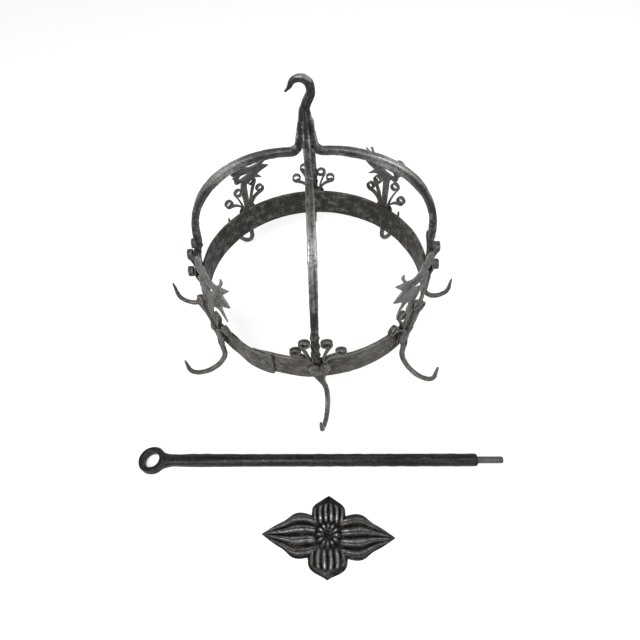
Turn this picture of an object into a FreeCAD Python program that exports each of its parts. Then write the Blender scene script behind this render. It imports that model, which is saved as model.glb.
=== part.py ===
# Hanging wrought-iron kitchen crown on its eight hooks, with its rod and ceiling rosette laid in front
import FreeCAD, Part
import math
import os
from FreeCAD import Vector

# Millimetres. The floor under the hooks is z = 0 and the crown's axis is the Z axis.
# A piece of a station is drawn in its radial frame, x outwards from the axis, y along the hoop, z up.

# Hoop: one strip, its outer end stepped out over its inner end at the lap
band_radius = 190.0
band_height = 52.0
band_thickness = 4.6
band_foot = 51.0
lap_angle = 246.5
lap_length = 33.0
lap_step_length = 26.0
lap_gap = 0.2

# Stations round the hoop, set out by eye, in degrees from +X
arm_stations = {"front": 272.0, "right": 0.0, "rear": 89.0, "left": 180.0}
bird_stations = {"front_right": 315.0, "rear_right": 47.0, "rear_left": 130.0, "front_left": 220.5}

# Pot hook: a heart-shaped plate, outermost at its station, drawn down to a round hook
plate_thickness = 4.0
plate_width = 34.0
plate_top = 50.0
plate_tip = 7.0
plate_lobe = 12.0
plate_notch = 6.0
hook_diameter = 8.8
hook_bend_diameter = 7.8
hook_tip_diameter = 3.0
hook_standoff = 0.8
shank_clearance = 1.0
hook_bend_radius = {
    "front": 33.0, "front_right": 32.0, "right": 21.5, "rear_right": 26.0,
    "rear": 26.0, "rear_left": 28.0, "left": 26.0, "front_left": 31.0,
}
hook_tip_height = {
    "front": 56.0, "front_right": 64.0, "right": 50.0, "rear_right": 50.0,
    "rear": 50.0, "rear_left": 48.0, "left": 62.0, "front_left": 60.0,
}
hook_turn = {
    "front": 0.0, "front_right": 0.0, "right": 0.0, "rear_right": 0.0,
    "rear": 0.0, "rear_left": 18.0, "left": 0.0, "front_left": -10.0,
}
bowed_hook_name = "front"
bow_depth = 10.0
bow_drop = 36.0
bow_end_turn = 136.0
bow_tip_shift = 2.6

# Spray: a tab on the hoop, split into four ribbons that fan out above it and are rolled up
tab_thickness = 2.6
tab_width = 22.0
tab_foot = 11.0
ribbon_thickness = 2.4
ribbon_width = 8.0
ribbon_clearance = 0.3
roll_radius = 7.2
roll_core_radius = 5.0
inner_ribbon_offset = 8.2
inner_ribbon_heading = 80.8
inner_ribbon_radius = 117.0
inner_ribbon_turn = 20.8
outer_ribbon_offset = 9.4
outer_ribbon_heading = 70.4
outer_ribbon_radius = 27.7
outer_ribbon_turn = 65.4

# Arm: a forged bar, flat behind the plate at its foot, twisted above the hoop, arched to the hub
tongue_width = 12.0
tongue_thickness = 4.4
tongue_foot = 22.0
tongue_clearance = 0.8
bar_foot_size = 10.5
bar_size = 12.2
bar_corner = 2.0
arch_radius = {"front": 184.0, "right": 188.0, "rear": 184.0, "left": 180.5}
twist_turn = 180.0
twist_clearance = 8.0
twist_length = 50.0
prong_size = 9.2
prong_top_size = 2.8
hub_bend_radius = 13.0

# Swan hook: a square root between the four prongs and a neck that stands on them
root_foot_height = 324.0
root_length = 44.0
root_size = 9.2
root_top_size = 5.3
bundle_gap = 0.35
neck_diameter = 11.4
neck_belly_diameter = 10.2
neck_flick_diameter = 6.4
neck_tip_diameter = 2.8
neck_lean = 65.0
neck_rise = 18.5
neck_belly_radius = 16.0
neck_belly_turn = 53.0
neck_crown_radius = 11.8
neck_crown_turn = 126.0
neck_flick_radius = 21.0
neck_flick_turn = 30.0

# Sheet-iron bird on its stem, bent inwards above the spray; its body is set off to the tail side or back
bird_thickness = 2.4
stem_width = 11.0
stem_neck_width = 13.4
bird_foot = 147.0
bird_lean = {"front_right": 8.0, "rear_right": 12.0, "rear_left": 24.0, "front_left": 14.0}
tail_side = {"front_right": -1, "rear_right": 1, "rear_left": -1, "front_left": 1}
bird_shift = {"front_right": -10.0, "rear_right": 0.0, "rear_left": 5.0, "front_left": 4.0}
bird_tilt = {"front_right": 0.0, "rear_right": 0.0, "rear_left": -9.0, "front_left": 0.0}
bird_middle = 33.0
wing_slot_head = -18.5
wing_slot_tail = 6.5
wing_slot_rise = 33.5
wing_slot_width = 10.0

# Bird's outline, as (along towards the tail, height over its foot)
rump_middle = (12.0, 15.5)
tail_root = (23.0, 17.0)
tail_points = [
    (39.4, 8.9), (23.8, 25.7), (44.7, 39.9), (25.5, 47.9),
    (40.1, 66.1), (22.5, 59.8), (28.0, 73.0),
]
tail_top = (22.5, 75.5)
back_middle = (6.8, 54.1)
nape = (-14.0, 61.0)
crest_points = [(-17.3, 68.8), (-24.0, 64.0)]
head_middle = (-33.2, 73.0)
beak_top = (-42.3, 65.4)
beak_middle = (-41.0, 53.0)
throat = (-29.0, 46.0)
breast_point = (-34.2, 39.2)
breast_middle = (-28.0, 31.0)
breast_foot = (-26.5, 25.0)
belly_middle = (-21.8, 19.5)
belly_end = (-11.0, 20.0)

# Rivets
rivet_diameter = 6.0
rivet_clearance = 0.05
rivet_height = 30.0
rivet_head_diameter = 10.5
rivet_head_height = 1.8
rivet_tail_diameter = 9.5
rivet_tail_height = 1.2
rivet_tail_gap = 0.1

# Hanging rod, eye to the left, on the floor in front of the crown
rod_diameter = 17.3
rod_shoulder = 473.0
rod_neck_diameter = 13.0
rod_neck_length = 60.0
rod_chamfer = 1.6
eye_diameter = 38.0
eye_bore = 22.0
eye_thickness = 13.0
eye_chamfer = 2.0
eye_left = 243.0
rod_gap = 20.65
rod_heading = -1.2

# Threaded stud in the rod's end
stud_diameter = 10.0
stud_length = 37.0
stud_chamfer = 1.0
spigot_diameter = 9.0
spigot_length = 20.0
spigot_clearance = 0.05

# Ceiling rosette, face up on the floor
rosette_length = 178.0
rosette_height = 102.0
long_petal_width = 54.0
long_petal_widest = 37.0
short_petal_width = 49.0
short_petal_widest = 29.0
petal_rim = 3.0
petal_depth = 11.0
petal_crown_share = 0.62
calyx_diameter = 52.0
calyx_top_diameter = 30.0
calyx_depth = 17.0
rosette_clearance = 0.8
rosette_right = 13.3
rosette_gap = 45.35
rosette_heading = -2.6

# Levels and radii that follow from the sizes above
floor = 0.0
up = Vector(0, 0, 1)
axis_point = Vector(0, 0, 0)
plate_top_z = band_foot + plate_top
plate_tip_z = band_foot + plate_tip
tongue_foot_z = band_foot + tongue_foot
rivet_z = band_foot + rivet_height
tab_face = band_radius + tab_thickness
arm_plate_face = tab_face + tongue_thickness
bird_plate_face = tab_face + bird_thickness
shank_offset = plate_thickness / 2 + hook_standoff
ribbon_root_z = plate_top_z + ribbon_clearance + ribbon_thickness / 2
tab_top_z = ribbon_root_z + ribbon_thickness / 2
tongue_top_z = tab_top_z + tongue_clearance
rosette_bore = stud_diameter + rosette_clearance
root_top_height = root_foot_height + root_length
front_reach = arm_plate_face + shank_offset + 2 * hook_bend_radius["front"] + hook_bend_diameter / 2
eye_front = front_reach + rod_gap + rod_diameter / 2
rosette_front = eye_front + rod_diameter / 2 + rosette_gap + rosette_height / 2
eye_place = Vector(-eye_left, -eye_front, floor)
rosette_place = Vector(rosette_right, -rosette_front, floor)
hub_lean = math.atan2((root_size - root_top_size + prong_size - prong_top_size) / 2,
                      root_length)


def turned(shape, degrees):
    """The shape turned about the crown's axis."""
    copy = shape.copy()
    copy.rotate(axis_point, up, degrees)
    return copy


def outline(place, start, steps):
    """Closed wire; a step is (end,) for a line or (middle, end) for an arc, place maps a pair to space."""
    edges = []
    here = start
    for step in steps:
        end = step[-1]
        if len(step) == 1:
            edges.append(Part.LineSegment(place(here), place(end)).toShape())
        else:
            edges.append(Part.Arc(place(here), place(step[0]), place(end)).toShape())
        here = end
    return Part.Wire(edges)


def upright(radius):
    """Places a (along, height) pair on the upright plane at one radius."""
    return lambda pair: Vector(radius, pair[0], pair[1])


def plate(radius, depth, start, steps):
    """Plate of one thickness that stands outwards from a radius."""
    return Part.Face(outline(upright(radius), start, steps)).extrude(Vector(depth, 0, 0))


def rivet_hole(from_radius, to_radius):
    """Radial hole for a station's rivet, a little past both faces."""
    past = 1.0
    length = to_radius - from_radius + 2 * past
    radius = rivet_diameter / 2 + rivet_clearance
    return Part.makeCylinder(radius, length, Vector(from_radius - past, 0, rivet_z), Vector(1, 0, 0))


def polar(radius, degrees):
    """Point on the floor plane at one radius and angle."""
    angle = math.radians(degrees)
    return Vector(radius * math.cos(angle), radius * math.sin(angle), 0)


def hoop_arc(radius, start, end):
    """Arc about the crown's axis that runs from one angle to another."""
    return Part.Arc(polar(radius, start), polar(radius, (start + end) / 2), polar(radius, end)).toShape()


def ring_band():
    """Strip whose outer end steps out by its thickness and lies over the inner end, with its rivet holes."""
    degrees = 180 / (math.pi * band_radius)
    lap_from = lap_angle - lap_length * degrees / 2
    lap_to = lap_angle + lap_length * degrees / 2
    step_from = lap_from - lap_step_length * degrees
    inner_from = lap_from + lap_gap * degrees
    inside = band_radius - band_thickness
    over = band_radius + lap_gap
    outside = over + band_thickness
    turn = 360
    half_way = (inner_from + step_from + turn) / 2
    edges = [
        hoop_arc(band_radius, inner_from, half_way),
        hoop_arc(band_radius, half_way, step_from + turn),
        Part.LineSegment(polar(band_radius, step_from), polar(outside, lap_from)).toShape(),
        hoop_arc(outside, lap_from, lap_to),
        Part.LineSegment(polar(outside, lap_to), polar(over, lap_to)).toShape(),
        hoop_arc(over, lap_to, lap_from),
        Part.LineSegment(polar(over, lap_from), polar(inside, step_from)).toShape(),
        hoop_arc(inside, step_from + turn, half_way),
        hoop_arc(inside, half_way, inner_from),
        Part.LineSegment(polar(inside, inner_from), polar(band_radius, inner_from)).toShape(),
    ]
    band = Part.Face(Part.Wire(edges)).extrude(up * band_height)
    band.translate(up * band_foot)
    hole = rivet_hole(inside, outside)
    angles = list(arm_stations.values()) + list(bird_stations.values()) + [lap_angle]
    for angle in angles:
        band = band.cut(turned(hole, angle))
    return band


def rivet(outer_radius):
    """Rivet with a low set head on the outermost piece and a peened tail inside the hoop."""
    inside = band_radius - band_thickness - rivet_tail_gap
    tail_end = inside - rivet_tail_height
    out = Vector(1, 0, 0)
    shank = Part.makeCylinder(rivet_diameter / 2, outer_radius - inside, Vector(inside, 0, rivet_z), out)
    head_radius = rivet_head_diameter / 2
    head = Part.makeCone(head_radius, head_radius - rivet_head_height, rivet_head_height,
                         Vector(outer_radius, 0, rivet_z), out)
    tail_radius = rivet_tail_diameter / 2
    tail = Part.makeCone(tail_radius - rivet_tail_height, tail_radius, rivet_tail_height,
                         Vector(tail_end, 0, rivet_z), out)
    return shank.fuse(head).fuse(tail)


def heart_plate(face):
    """Heart with two lobes at its top and its point drawn to the hook's width."""
    half = plate_width / 2
    point = hook_diameter / 2
    wide = plate_top_z - plate_lobe
    middle = (plate_tip_z + wide) / 2
    lobe = (half * 0.48, plate_top_z)
    notch = (0.0, plate_top_z - plate_notch)

    def left(pair):
        return (-pair[0], pair[1])

    side = (half * 0.72, middle)
    shoulder = (half * 0.90, plate_top_z - plate_lobe * 0.30)
    dip = (half * 0.15, plate_top_z - plate_notch * 0.45)
    return plate(face, plate_thickness, (-point, plate_tip_z), [
        ((point, plate_tip_z),),
        (side, (half, wide)),
        (shoulder, lobe),
        (dip, notch),
        (left(dip), left(lobe)),
        (left(shoulder), left((half, wide))),
        (left(side), (-point, plate_tip_z)),
    ])


def round_ring(middle, lift, diameter):
    """Circle as two arcs, across the y axis and a given direction."""
    side = Vector(0, diameter / 2, 0)
    rise = lift * (diameter / 2)
    halves = [Part.Arc(middle + side, middle + rise, middle - side).toShape(),
              Part.Arc(middle - side, middle - rise, middle + side).toShape()]
    return Part.Wire(halves)


def bowed_rod(shank_radius, shank_top, bend_z, bend_radius, tip_height):
    """Shank, bend and tip in one, bowed to one side: the bow is half a sine wave from the shank into the bend."""
    bow_top = band_foot + band_height - bow_drop
    bow_length = bow_top - bend_z + bend_radius * math.radians(bow_end_turn)
    whole = bow_top - bend_z + bend_radius * math.pi + tip_height - bend_z
    shank_steps = 5
    bend_steps = 16
    tip_steps = 3
    places = []
    for step in range(shank_steps):
        share = step / shank_steps
        drop = (shank_top - bend_z) * share
        diameter = hook_diameter + (hook_bend_diameter - hook_diameter) * share
        places.append((0.0, shank_top - drop, 0.0, bow_top - shank_top + drop, diameter))
    for step in range(bend_steps + 1):
        angle = math.pi * step / bend_steps
        run = bow_top - bend_z + bend_radius * angle
        ahead = bend_radius * (1 - math.cos(angle))
        places.append((ahead, bend_z - bend_radius * math.sin(angle), angle, run, hook_bend_diameter))
    for step in range(1, tip_steps + 1):
        share = step / tip_steps
        rise = (tip_height - bend_z) * share
        diameter = hook_bend_diameter + (hook_tip_diameter - hook_bend_diameter) * share
        run = bow_top - bend_z + bend_radius * math.pi + rise
        places.append((2 * bend_radius, bend_z + rise, math.pi, run, diameter))
    rings = []
    for ahead, height, angle, run, diameter in places:
        if run <= bow_length:
            aside = bow_depth * math.sin(math.pi * max(run, 0.0) / bow_length)
        else:
            aside = -bow_tip_shift * (run - bow_length) / (whole - bow_length)
        lift = Vector(-math.cos(angle), 0, -math.sin(angle))
        rings.append(round_ring(Vector(shank_radius + ahead, aside, height), lift, diameter))
    return Part.makeLoft(rings, True, False)


def pot_hook(face, bend_radius, tip_height, turn, bowed):
    """Heart plate, tapering shank, round bend that touches the floor and pointed tip, turned on its shank."""
    shank_radius = face + shank_offset
    shank_top = tongue_foot_z - shank_clearance
    bend_z = floor + hook_bend_diameter / 2 + bend_radius
    tip_radius = shank_radius + 2 * bend_radius
    hole = rivet_hole(face, face + plate_thickness)
    if bowed:
        rod = bowed_rod(shank_radius, shank_top, bend_z, bend_radius, tip_height)
        return heart_plate(face).fuse(rod).cut(hole)
    shank = Part.makeCone(hook_bend_diameter / 2, hook_diameter / 2, shank_top - bend_z,
                          Vector(shank_radius, 0, bend_z), up)
    ring = Part.Wire(Part.makeCircle(hook_bend_diameter / 2, Vector(shank_radius, 0, bend_z), up))
    middle = Vector(shank_radius + bend_radius, 0, bend_z)
    bend = Part.Face(ring).revolve(middle, Vector(0, -1, 0), 180)
    tip = Part.makeCone(hook_bend_diameter / 2, hook_tip_diameter / 2, tip_height - bend_z,
                        Vector(tip_radius, 0, bend_z), up)
    for piece in (bend, tip):
        piece.rotate(Vector(shank_radius, 0, 0), up, turn)
    hook = heart_plate(face).fuse([shank, bend, tip])
    return hook.cut(hole)


def ribbon(start, heading, steps):
    """Strip on edge along a line of arcs; a step is (radius, turn) to the left, both negative to the right."""
    near = band_radius + ribbon_clearance
    half = ribbon_thickness / 2
    place = upright(near)

    def walk(point, angle, step, share):
        radius, amount = step
        end = angle + math.radians(amount) * share
        moved = (point[0] + radius * (math.sin(end) - math.sin(angle)),
                 point[1] + radius * (math.cos(angle) - math.cos(end)))
        return moved, end

    def beside(point, angle, side):
        return place((point[0] - side * math.sin(angle), point[1] + side * math.cos(angle)))

    point = start
    angle = math.radians(heading)
    left_edges = []
    right_edges = []
    first = (beside(point, angle, half), beside(point, angle, -half))
    for step in steps:
        states = [walk(point, angle, step, share) for share in (0, 0.5, 1)]
        for side, edges in ((half, left_edges), (-half, right_edges)):
            spots = [beside(spot, turn, side) for spot, turn in states]
            edges.append(Part.Arc(*spots).toShape())
        point, angle = states[2]
    cap = Part.LineSegment(beside(point, angle, half), beside(point, angle, -half)).toShape()
    base = Part.LineSegment(first[1], first[0]).toShape()
    wire = Part.Wire(left_edges + [cap] + right_edges[::-1] + [base])
    return Part.Face(wire).extrude(Vector(ribbon_width, 0, 0))


def spray():
    """Flat tab under the plate with an inner and an outer rolled ribbon to each side."""
    half = tab_width / 2
    foot = band_foot + tab_foot
    tab = Part.makeBox(tab_thickness, tab_width, tab_top_z - foot, Vector(band_radius, -half, foot))
    roll = [(roll_radius, 200), (roll_core_radius, 170)]
    inner = ribbon((inner_ribbon_offset, ribbon_root_z), inner_ribbon_heading,
                   [(-inner_ribbon_radius, -inner_ribbon_turn)] + roll)
    outer = ribbon((outer_ribbon_offset, ribbon_root_z), outer_ribbon_heading,
                   [(-outer_ribbon_radius, -outer_ribbon_turn)] + roll)
    mirrored = [strip.mirror(axis_point, Vector(0, 1, 0)) for strip in (inner, outer)]
    joined = tab.fuse([inner, outer] + mirrored)
    return joined.cut(rivet_hole(band_radius, tab_face))


def bar_section(radius, height, heading, width, thickness, corner, twist):
    """Rectangle with cut corners, square to the bar's heading in the radial plane, turned by the twist."""
    along = Vector(math.cos(heading), 0, math.sin(heading))
    side = Vector(0, 1, 0)
    normal = side.cross(along)
    across = side * math.cos(twist) + normal * math.sin(twist)
    through = normal * math.cos(twist) - side * math.sin(twist)
    half_width = width / 2
    half_depth = thickness / 2
    corners = []
    for sign_w, sign_t, first in ((1, 1, "w"), (-1, 1, "t"), (-1, -1, "w"), (1, -1, "t")):
        near_side = (sign_w * half_width, sign_t * (half_depth - corner))
        near_face = (sign_w * (half_width - corner), sign_t * half_depth)
        pair = [near_side, near_face] if first == "w" else [near_face, near_side]
        corners.extend(pair)
    middle = Vector(radius, 0, height)
    points = [middle + across * w + through * t for w, t in corners]
    return Part.makePolygon(points + points[:1])


def arm(spring):
    """Bar from its flat foot through the twist to the springing radius, then a quarter ellipse to the hub."""
    quarter = math.pi / 2
    foot_radius = tab_face + tongue_thickness / 2
    flat_corner = tongue_thickness * 0.2
    twist_from = tongue_top_z + twist_clearance
    twist_to = twist_from + twist_length
    prong_radius = root_size / 2 + bundle_gap + prong_size / 2
    prong_top_radius = root_top_size / 2 + bundle_gap + prong_top_size / 2
    bend_turn = quarter - hub_lean
    arch_end = prong_radius + hub_bend_radius * math.sin(bend_turn)
    arch_top = root_foot_height - hub_bend_radius * (1 - math.cos(bend_turn))
    sections = []
    for height in (tongue_foot_z, tongue_top_z):
        sections.append(bar_section(foot_radius, height, quarter, tongue_width, tongue_thickness,
                                    flat_corner, 0))
    whole_twist = math.radians(twist_turn)
    twist_steps = 12
    for step in range(twist_steps + 1):
        share = step / twist_steps
        smooth = share * share * (3 - 2 * share)
        slope = 6 * share * (1 - share) * (spring - foot_radius) / twist_length
        radius = foot_radius + (spring - foot_radius) * smooth
        sections.append(bar_section(radius, twist_from + share * twist_length, math.atan2(1, slope),
                                    bar_foot_size, bar_foot_size, bar_corner, whole_twist * share))
    arch_steps = 12
    for step in range(1, arch_steps + 1):
        share = step / arch_steps
        angle = quarter * share
        wide = spring - arch_end
        tall = arch_top - twist_to
        first, last = (bar_foot_size, bar_size) if share < 0.5 else (bar_size, prong_size)
        size = first + (last - first) * (2 * share if share < 0.5 else 2 * share - 1)
        heading = math.atan2(tall * math.cos(angle), -wide * math.sin(angle))
        sections.append(bar_section(arch_end + wide * math.cos(angle), twist_to + tall * math.sin(angle),
                                    heading, size, size, bar_corner, whole_twist))
    bend_steps = 5
    for step in range(1, bend_steps + 1):
        share = step / bend_steps
        angle = bend_turn * share
        sections.append(bar_section(arch_end - hub_bend_radius * math.sin(angle),
                                    arch_top + hub_bend_radius * (1 - math.cos(angle)),
                                    math.pi - angle, prong_size, prong_size, bar_corner, whole_twist))
    top_corner = bar_corner * prong_top_size / prong_size
    sections.append(bar_section(prong_top_radius, root_top_height, quarter, prong_top_size, prong_top_size,
                                top_corner, whole_twist))
    bar = Part.makeLoft(sections, True, True)
    return bar.cut(rivet_hole(tab_face, tab_face + tongue_thickness))


def swan_hook():
    """Tapered square root, and a round neck that leans right, turns over and flicks out at its tip."""

    def square(size, height):
        half = size / 2
        corners = [(half, half), (-half, half), (-half, -half), (half, -half), (half, half)]
        return Part.makePolygon([Vector(x, y, height) for x, y in corners])

    def ring(point, heading, diameter):
        lift = Vector(-math.sin(heading), 0, math.cos(heading))
        return round_ring(Vector(point[0], 0, point[1]), lift, diameter)

    ends = [square(root_size, root_foot_height), square(root_top_size, root_top_height)]
    root = Part.makeLoft(ends, True, True)
    heading = math.radians(neck_lean)
    point = (neck_rise * math.cos(heading), root_top_height + neck_rise * math.sin(heading))
    rings = [ring((0.0, root_top_height), math.pi / 2, neck_diameter), ring(point, heading, neck_diameter)]
    runs = [(neck_belly_radius, neck_belly_turn, neck_diameter, neck_belly_diameter, 6),
            (neck_crown_radius, neck_crown_turn, neck_belly_diameter, neck_flick_diameter, 14),
            (-neck_flick_radius, -neck_flick_turn, neck_flick_diameter, neck_tip_diameter, 5)]
    for radius, turn, first, last, count in runs:
        for step in range(1, count + 1):
            end = heading + math.radians(turn) / count
            point = (point[0] + radius * (math.sin(end) - math.sin(heading)),
                     point[1] + radius * (math.cos(heading) - math.cos(end)))
            heading = end
            rings.append(ring(point, heading, first + (last - first) * step / count))
    neck = Part.makeLoft(rings, True, True)
    return root.fuse(neck)


def bird(side, shift, tilt, lean):
    """Sheet bird on a bent stem: spiked tail to one side, head and breast to the other, and a wing slot."""
    foot = tongue_foot_z
    lap = 1.0
    half = stem_width / 2
    neck = stem_neck_width / 2
    base = bird_foot - lap
    stem = plate(tab_face, bird_thickness, (-half, foot), [
        ((half, foot),),
        ((half, plate_top_z),),
        ((neck, bird_foot),),
        ((-neck, bird_foot),),
        ((-half, plate_top_z),),
        ((-half, foot),),
    ])

    def rise(along, height):
        turn = math.radians(tilt)
        up_by = height - bird_middle
        return (along * math.cos(turn) - up_by * math.sin(turn) + shift,
                bird_foot + bird_middle + along * math.sin(turn) + up_by * math.cos(turn))

    tail = [(rise(*rump_middle), rise(*tail_root))]
    tail += [(rise(*point),) for point in tail_points + [tail_top]]
    head = [(rise(*back_middle), rise(*nape))]
    head += [(rise(*point),) for point in crest_points]
    head += [
        (rise(*head_middle), rise(*beak_top)),
        (rise(*beak_middle), rise(*throat)),
        (rise(*breast_point),),
    ]
    breast = [
        (rise(*breast_middle), rise(*breast_foot)),
        (rise(*belly_middle), rise(*belly_end)),
        ((-neck, bird_foot + stem_neck_width / 2),),
        ((-neck, base),),
    ]
    start = [((neck, base),), ((neck, bird_foot + stem_neck_width / 2),)]
    body = plate(tab_face, bird_thickness, (-neck, base), start + tail + head + breast)
    slot_radius = wing_slot_width / 2
    slot_foot = wing_slot_rise - slot_radius
    slot_top = wing_slot_rise + slot_radius
    slot_near = wing_slot_head + slot_radius
    slot = plate(tab_face - lap, bird_thickness + 2 * lap, rise(slot_near, slot_foot), [
        (rise(wing_slot_tail, slot_top),),
        (rise(slot_near, slot_top),),
        (rise(wing_slot_head, wing_slot_rise), rise(slot_near, slot_foot)),
    ])
    body = body.cut(slot)
    body.rotate(Vector(tab_face + bird_thickness / 2, 0, bird_foot), Vector(0, -1, 0), lean)
    whole = stem.fuse(body).cut(rivet_hole(tab_face, tab_face + bird_thickness))
    return whole if side > 0 else whole.mirror(axis_point, Vector(0, 1, 0))


def laid_rod(shape):
    """The rod's own frame, eye at the origin and shank along +X, laid where it lies on the floor."""
    copy = shape.copy()
    copy.rotate(axis_point, up, rod_heading)
    copy.translate(eye_place + up * (rod_diameter / 2))
    return copy


def hanger_rod():
    """Round bar with a flattened eye at one end and a blind hole for the stud in the other."""
    out = Vector(1, 0, 0)
    eye_radius = eye_diameter / 2
    eye = Part.makeCylinder(eye_radius, eye_thickness, Vector(0, 0, -eye_thickness / 2))
    eye = eye.makeChamfer(eye_chamfer, [edge for edge in eye.Edges if edge.Closed])
    neck_from = eye_bore / 2 + (eye_radius - eye_bore / 2) / 2
    neck = Part.makeCone(rod_neck_diameter / 2, rod_diameter / 2, rod_neck_length, out * neck_from, out)
    bar_from = neck_from + rod_neck_length
    bar_to = rod_shoulder - rod_chamfer
    bar = Part.makeCylinder(rod_diameter / 2, bar_to - bar_from, out * bar_from, out)
    end = Part.makeCone(rod_diameter / 2, rod_diameter / 2 - rod_chamfer, rod_chamfer, out * bar_to, out)
    whole = eye.fuse([neck, bar, end])
    bore = Part.makeCylinder(eye_bore / 2, rod_diameter, Vector(0, 0, -rod_diameter / 2))
    hole_radius = spigot_diameter / 2 + spigot_clearance
    hole = Part.makeCylinder(hole_radius, spigot_length, out * (rod_shoulder - spigot_length), out)
    return laid_rod(whole.cut(bore).cut(hole))


def rod_stud():
    """Stud with a thinner spigot screwed home in the rod and a chamfered free end."""
    out = Vector(1, 0, 0)
    spigot = Part.makeCylinder(spigot_diameter / 2, spigot_length, out * (rod_shoulder - spigot_length), out)
    free = Part.makeCylinder(stud_diameter / 2, stud_length - stud_chamfer, out * rod_shoulder, out)
    end = Part.makeCone(stud_diameter / 2, stud_diameter / 2 - stud_chamfer, stud_chamfer,
                        out * (rod_shoulder + stud_length - stud_chamfer), out)
    return laid_rod(spigot.fuse([free, end]))


def petal(points, tip_steps, turn):
    """Petal with an upright rim and sides that slope in to a smaller crown."""

    def ring(scale, height):
        return outline(lambda pair: Vector(pair[0] * scale, pair[1] * scale, height), points, tip_steps)

    rim = Part.Face(ring(1, 0)).extrude(up * petal_rim)
    slope = Part.makeLoft([ring(1, petal_rim), ring(petal_crown_share, petal_depth)], True, True)
    whole = rim.fuse(slope)
    whole.rotate(axis_point, up, turn)
    return whole


def rosette():
    """Two long pointed petals, two short ogee petals and a raised calyx with the rod's hole."""
    reach = rosette_length / 2
    half = long_petal_width / 2
    wide = long_petal_widest
    root = half * 0.5
    long_start = (0.0, -root)
    long_steps = [
        ((wide * 0.45, -half * 0.92), (wide, -half)),
        ((wide + (reach - wide) * 0.52, -half * 0.60), (reach, 0.0)),
        ((wide + (reach - wide) * 0.52, half * 0.60), (wide, half)),
        ((wide * 0.45, half * 0.92), (0.0, root)),
        (long_start,),
    ]
    short_reach = rosette_height / 2
    short_half = short_petal_width / 2
    short_wide = short_petal_widest
    shoulder = short_wide + (short_reach - short_wide) * 0.55
    short_root = short_half * 0.5
    short_start = (0.0, -short_root)
    short_steps = [
        ((short_wide * 0.5, -short_half * 0.92), (short_wide, -short_half)),
        ((short_wide + (shoulder - short_wide) * 0.75, -short_half * 0.86), (shoulder, -short_half * 0.55)),
        ((short_reach, 0.0),),
        ((shoulder, short_half * 0.55),),
        ((short_wide + (shoulder - short_wide) * 0.75, short_half * 0.86), (short_wide, short_half)),
        ((short_wide * 0.5, short_half * 0.92), (0.0, short_root)),
        (short_start,),
    ]
    petals = [petal(long_start, long_steps, turn) for turn in (0, 180)]
    petals += [petal(short_start, short_steps, turn) for turn in (90, 270)]
    calyx = Part.makeCone(calyx_diameter / 2, calyx_top_diameter / 2, calyx_depth)
    flower = calyx.fuse(petals)
    flower = flower.cut(Part.makeCylinder(rosette_bore / 2, calyx_depth))
    flower.rotate(axis_point, up, rosette_heading)
    flower.translate(rosette_place)
    return flower


def build():
    """Every node of the set, by name."""
    nodes = {"ring_band": ring_band(), "swan_hook": swan_hook()}
    lap_face = band_radius + lap_gap + band_thickness
    nodes["lap_rivet"] = turned(rivet(lap_face), lap_angle)
    spray_piece = spray()
    stations = {**arm_stations, **bird_stations}
    for name, angle in stations.items():
        face = arm_plate_face if name in arm_stations else bird_plate_face
        bowed = name == bowed_hook_name
        hook = pot_hook(face, hook_bend_radius[name], hook_tip_height[name], hook_turn[name], bowed)
        nodes["hook_" + name] = turned(hook, angle)
        nodes["spray_" + name] = turned(spray_piece, angle)
    for name, angle in arm_stations.items():
        nodes["arm_" + name] = turned(arm(arch_radius[name]), angle)
    for name, angle in bird_stations.items():
        sheet = bird(tail_side[name], bird_shift[name], bird_tilt[name], bird_lean[name])
        nodes["bird_" + name] = turned(sheet, angle)
    arm_rivet = rivet(arm_plate_face + plate_thickness)
    bird_rivet = rivet(bird_plate_face + plate_thickness)
    nodes["arm_rivets"] = Part.makeCompound([turned(arm_rivet, angle) for angle in arm_stations.values()])
    nodes["bird_rivets"] = Part.makeCompound([turned(bird_rivet, angle) for angle in bird_stations.values()])
    nodes["hanger_rod"] = hanger_rod()
    nodes["rod_stud"] = rod_stud()
    nodes["rosette"] = rosette()
    return nodes


os.makedirs("parts", exist_ok=True)
for name, shape in build().items():
    box = shape.BoundBox
    print(name, len(shape.Solids), shape.isValid(), round(shape.Volume),
          [round(value, 1) for value in (box.XMin, box.YMin, box.ZMin, box.XMax, box.YMax, box.ZMax)])
    shape.exportStep("parts/" + name + ".step")
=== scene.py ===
# %% [markdown]
# # A wrought-iron kitchen crown, its hanging rod and its ceiling rosette
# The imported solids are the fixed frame. This lesson dresses them: each forged piece is worked out again
# as a fine surface with the smith's unevenness in it, and gets a finish of worn black iron.
# Lengths are in millimetres until a mesh is made, because that is how the pieces were measured.

# %% Load the frame
import math
import bpy
import numpy as np
from mathutils import Matrix, Vector
from mathutils.geometry import delaunay_2d_cdt


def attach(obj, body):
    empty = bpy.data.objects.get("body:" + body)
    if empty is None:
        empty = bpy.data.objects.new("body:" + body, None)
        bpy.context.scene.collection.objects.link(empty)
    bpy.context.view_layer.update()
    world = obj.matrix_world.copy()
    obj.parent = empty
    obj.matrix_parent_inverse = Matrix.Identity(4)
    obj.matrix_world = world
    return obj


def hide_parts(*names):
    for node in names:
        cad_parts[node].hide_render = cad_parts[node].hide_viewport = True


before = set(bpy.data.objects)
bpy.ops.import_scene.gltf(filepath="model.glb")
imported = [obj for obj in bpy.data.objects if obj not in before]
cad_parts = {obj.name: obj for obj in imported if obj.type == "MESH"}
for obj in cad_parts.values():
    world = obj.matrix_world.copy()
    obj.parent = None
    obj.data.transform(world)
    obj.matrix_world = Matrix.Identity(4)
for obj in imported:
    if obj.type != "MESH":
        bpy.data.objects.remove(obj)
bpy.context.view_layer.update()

MM = 0.001
FULL_TURN = 2 * np.pi

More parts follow.
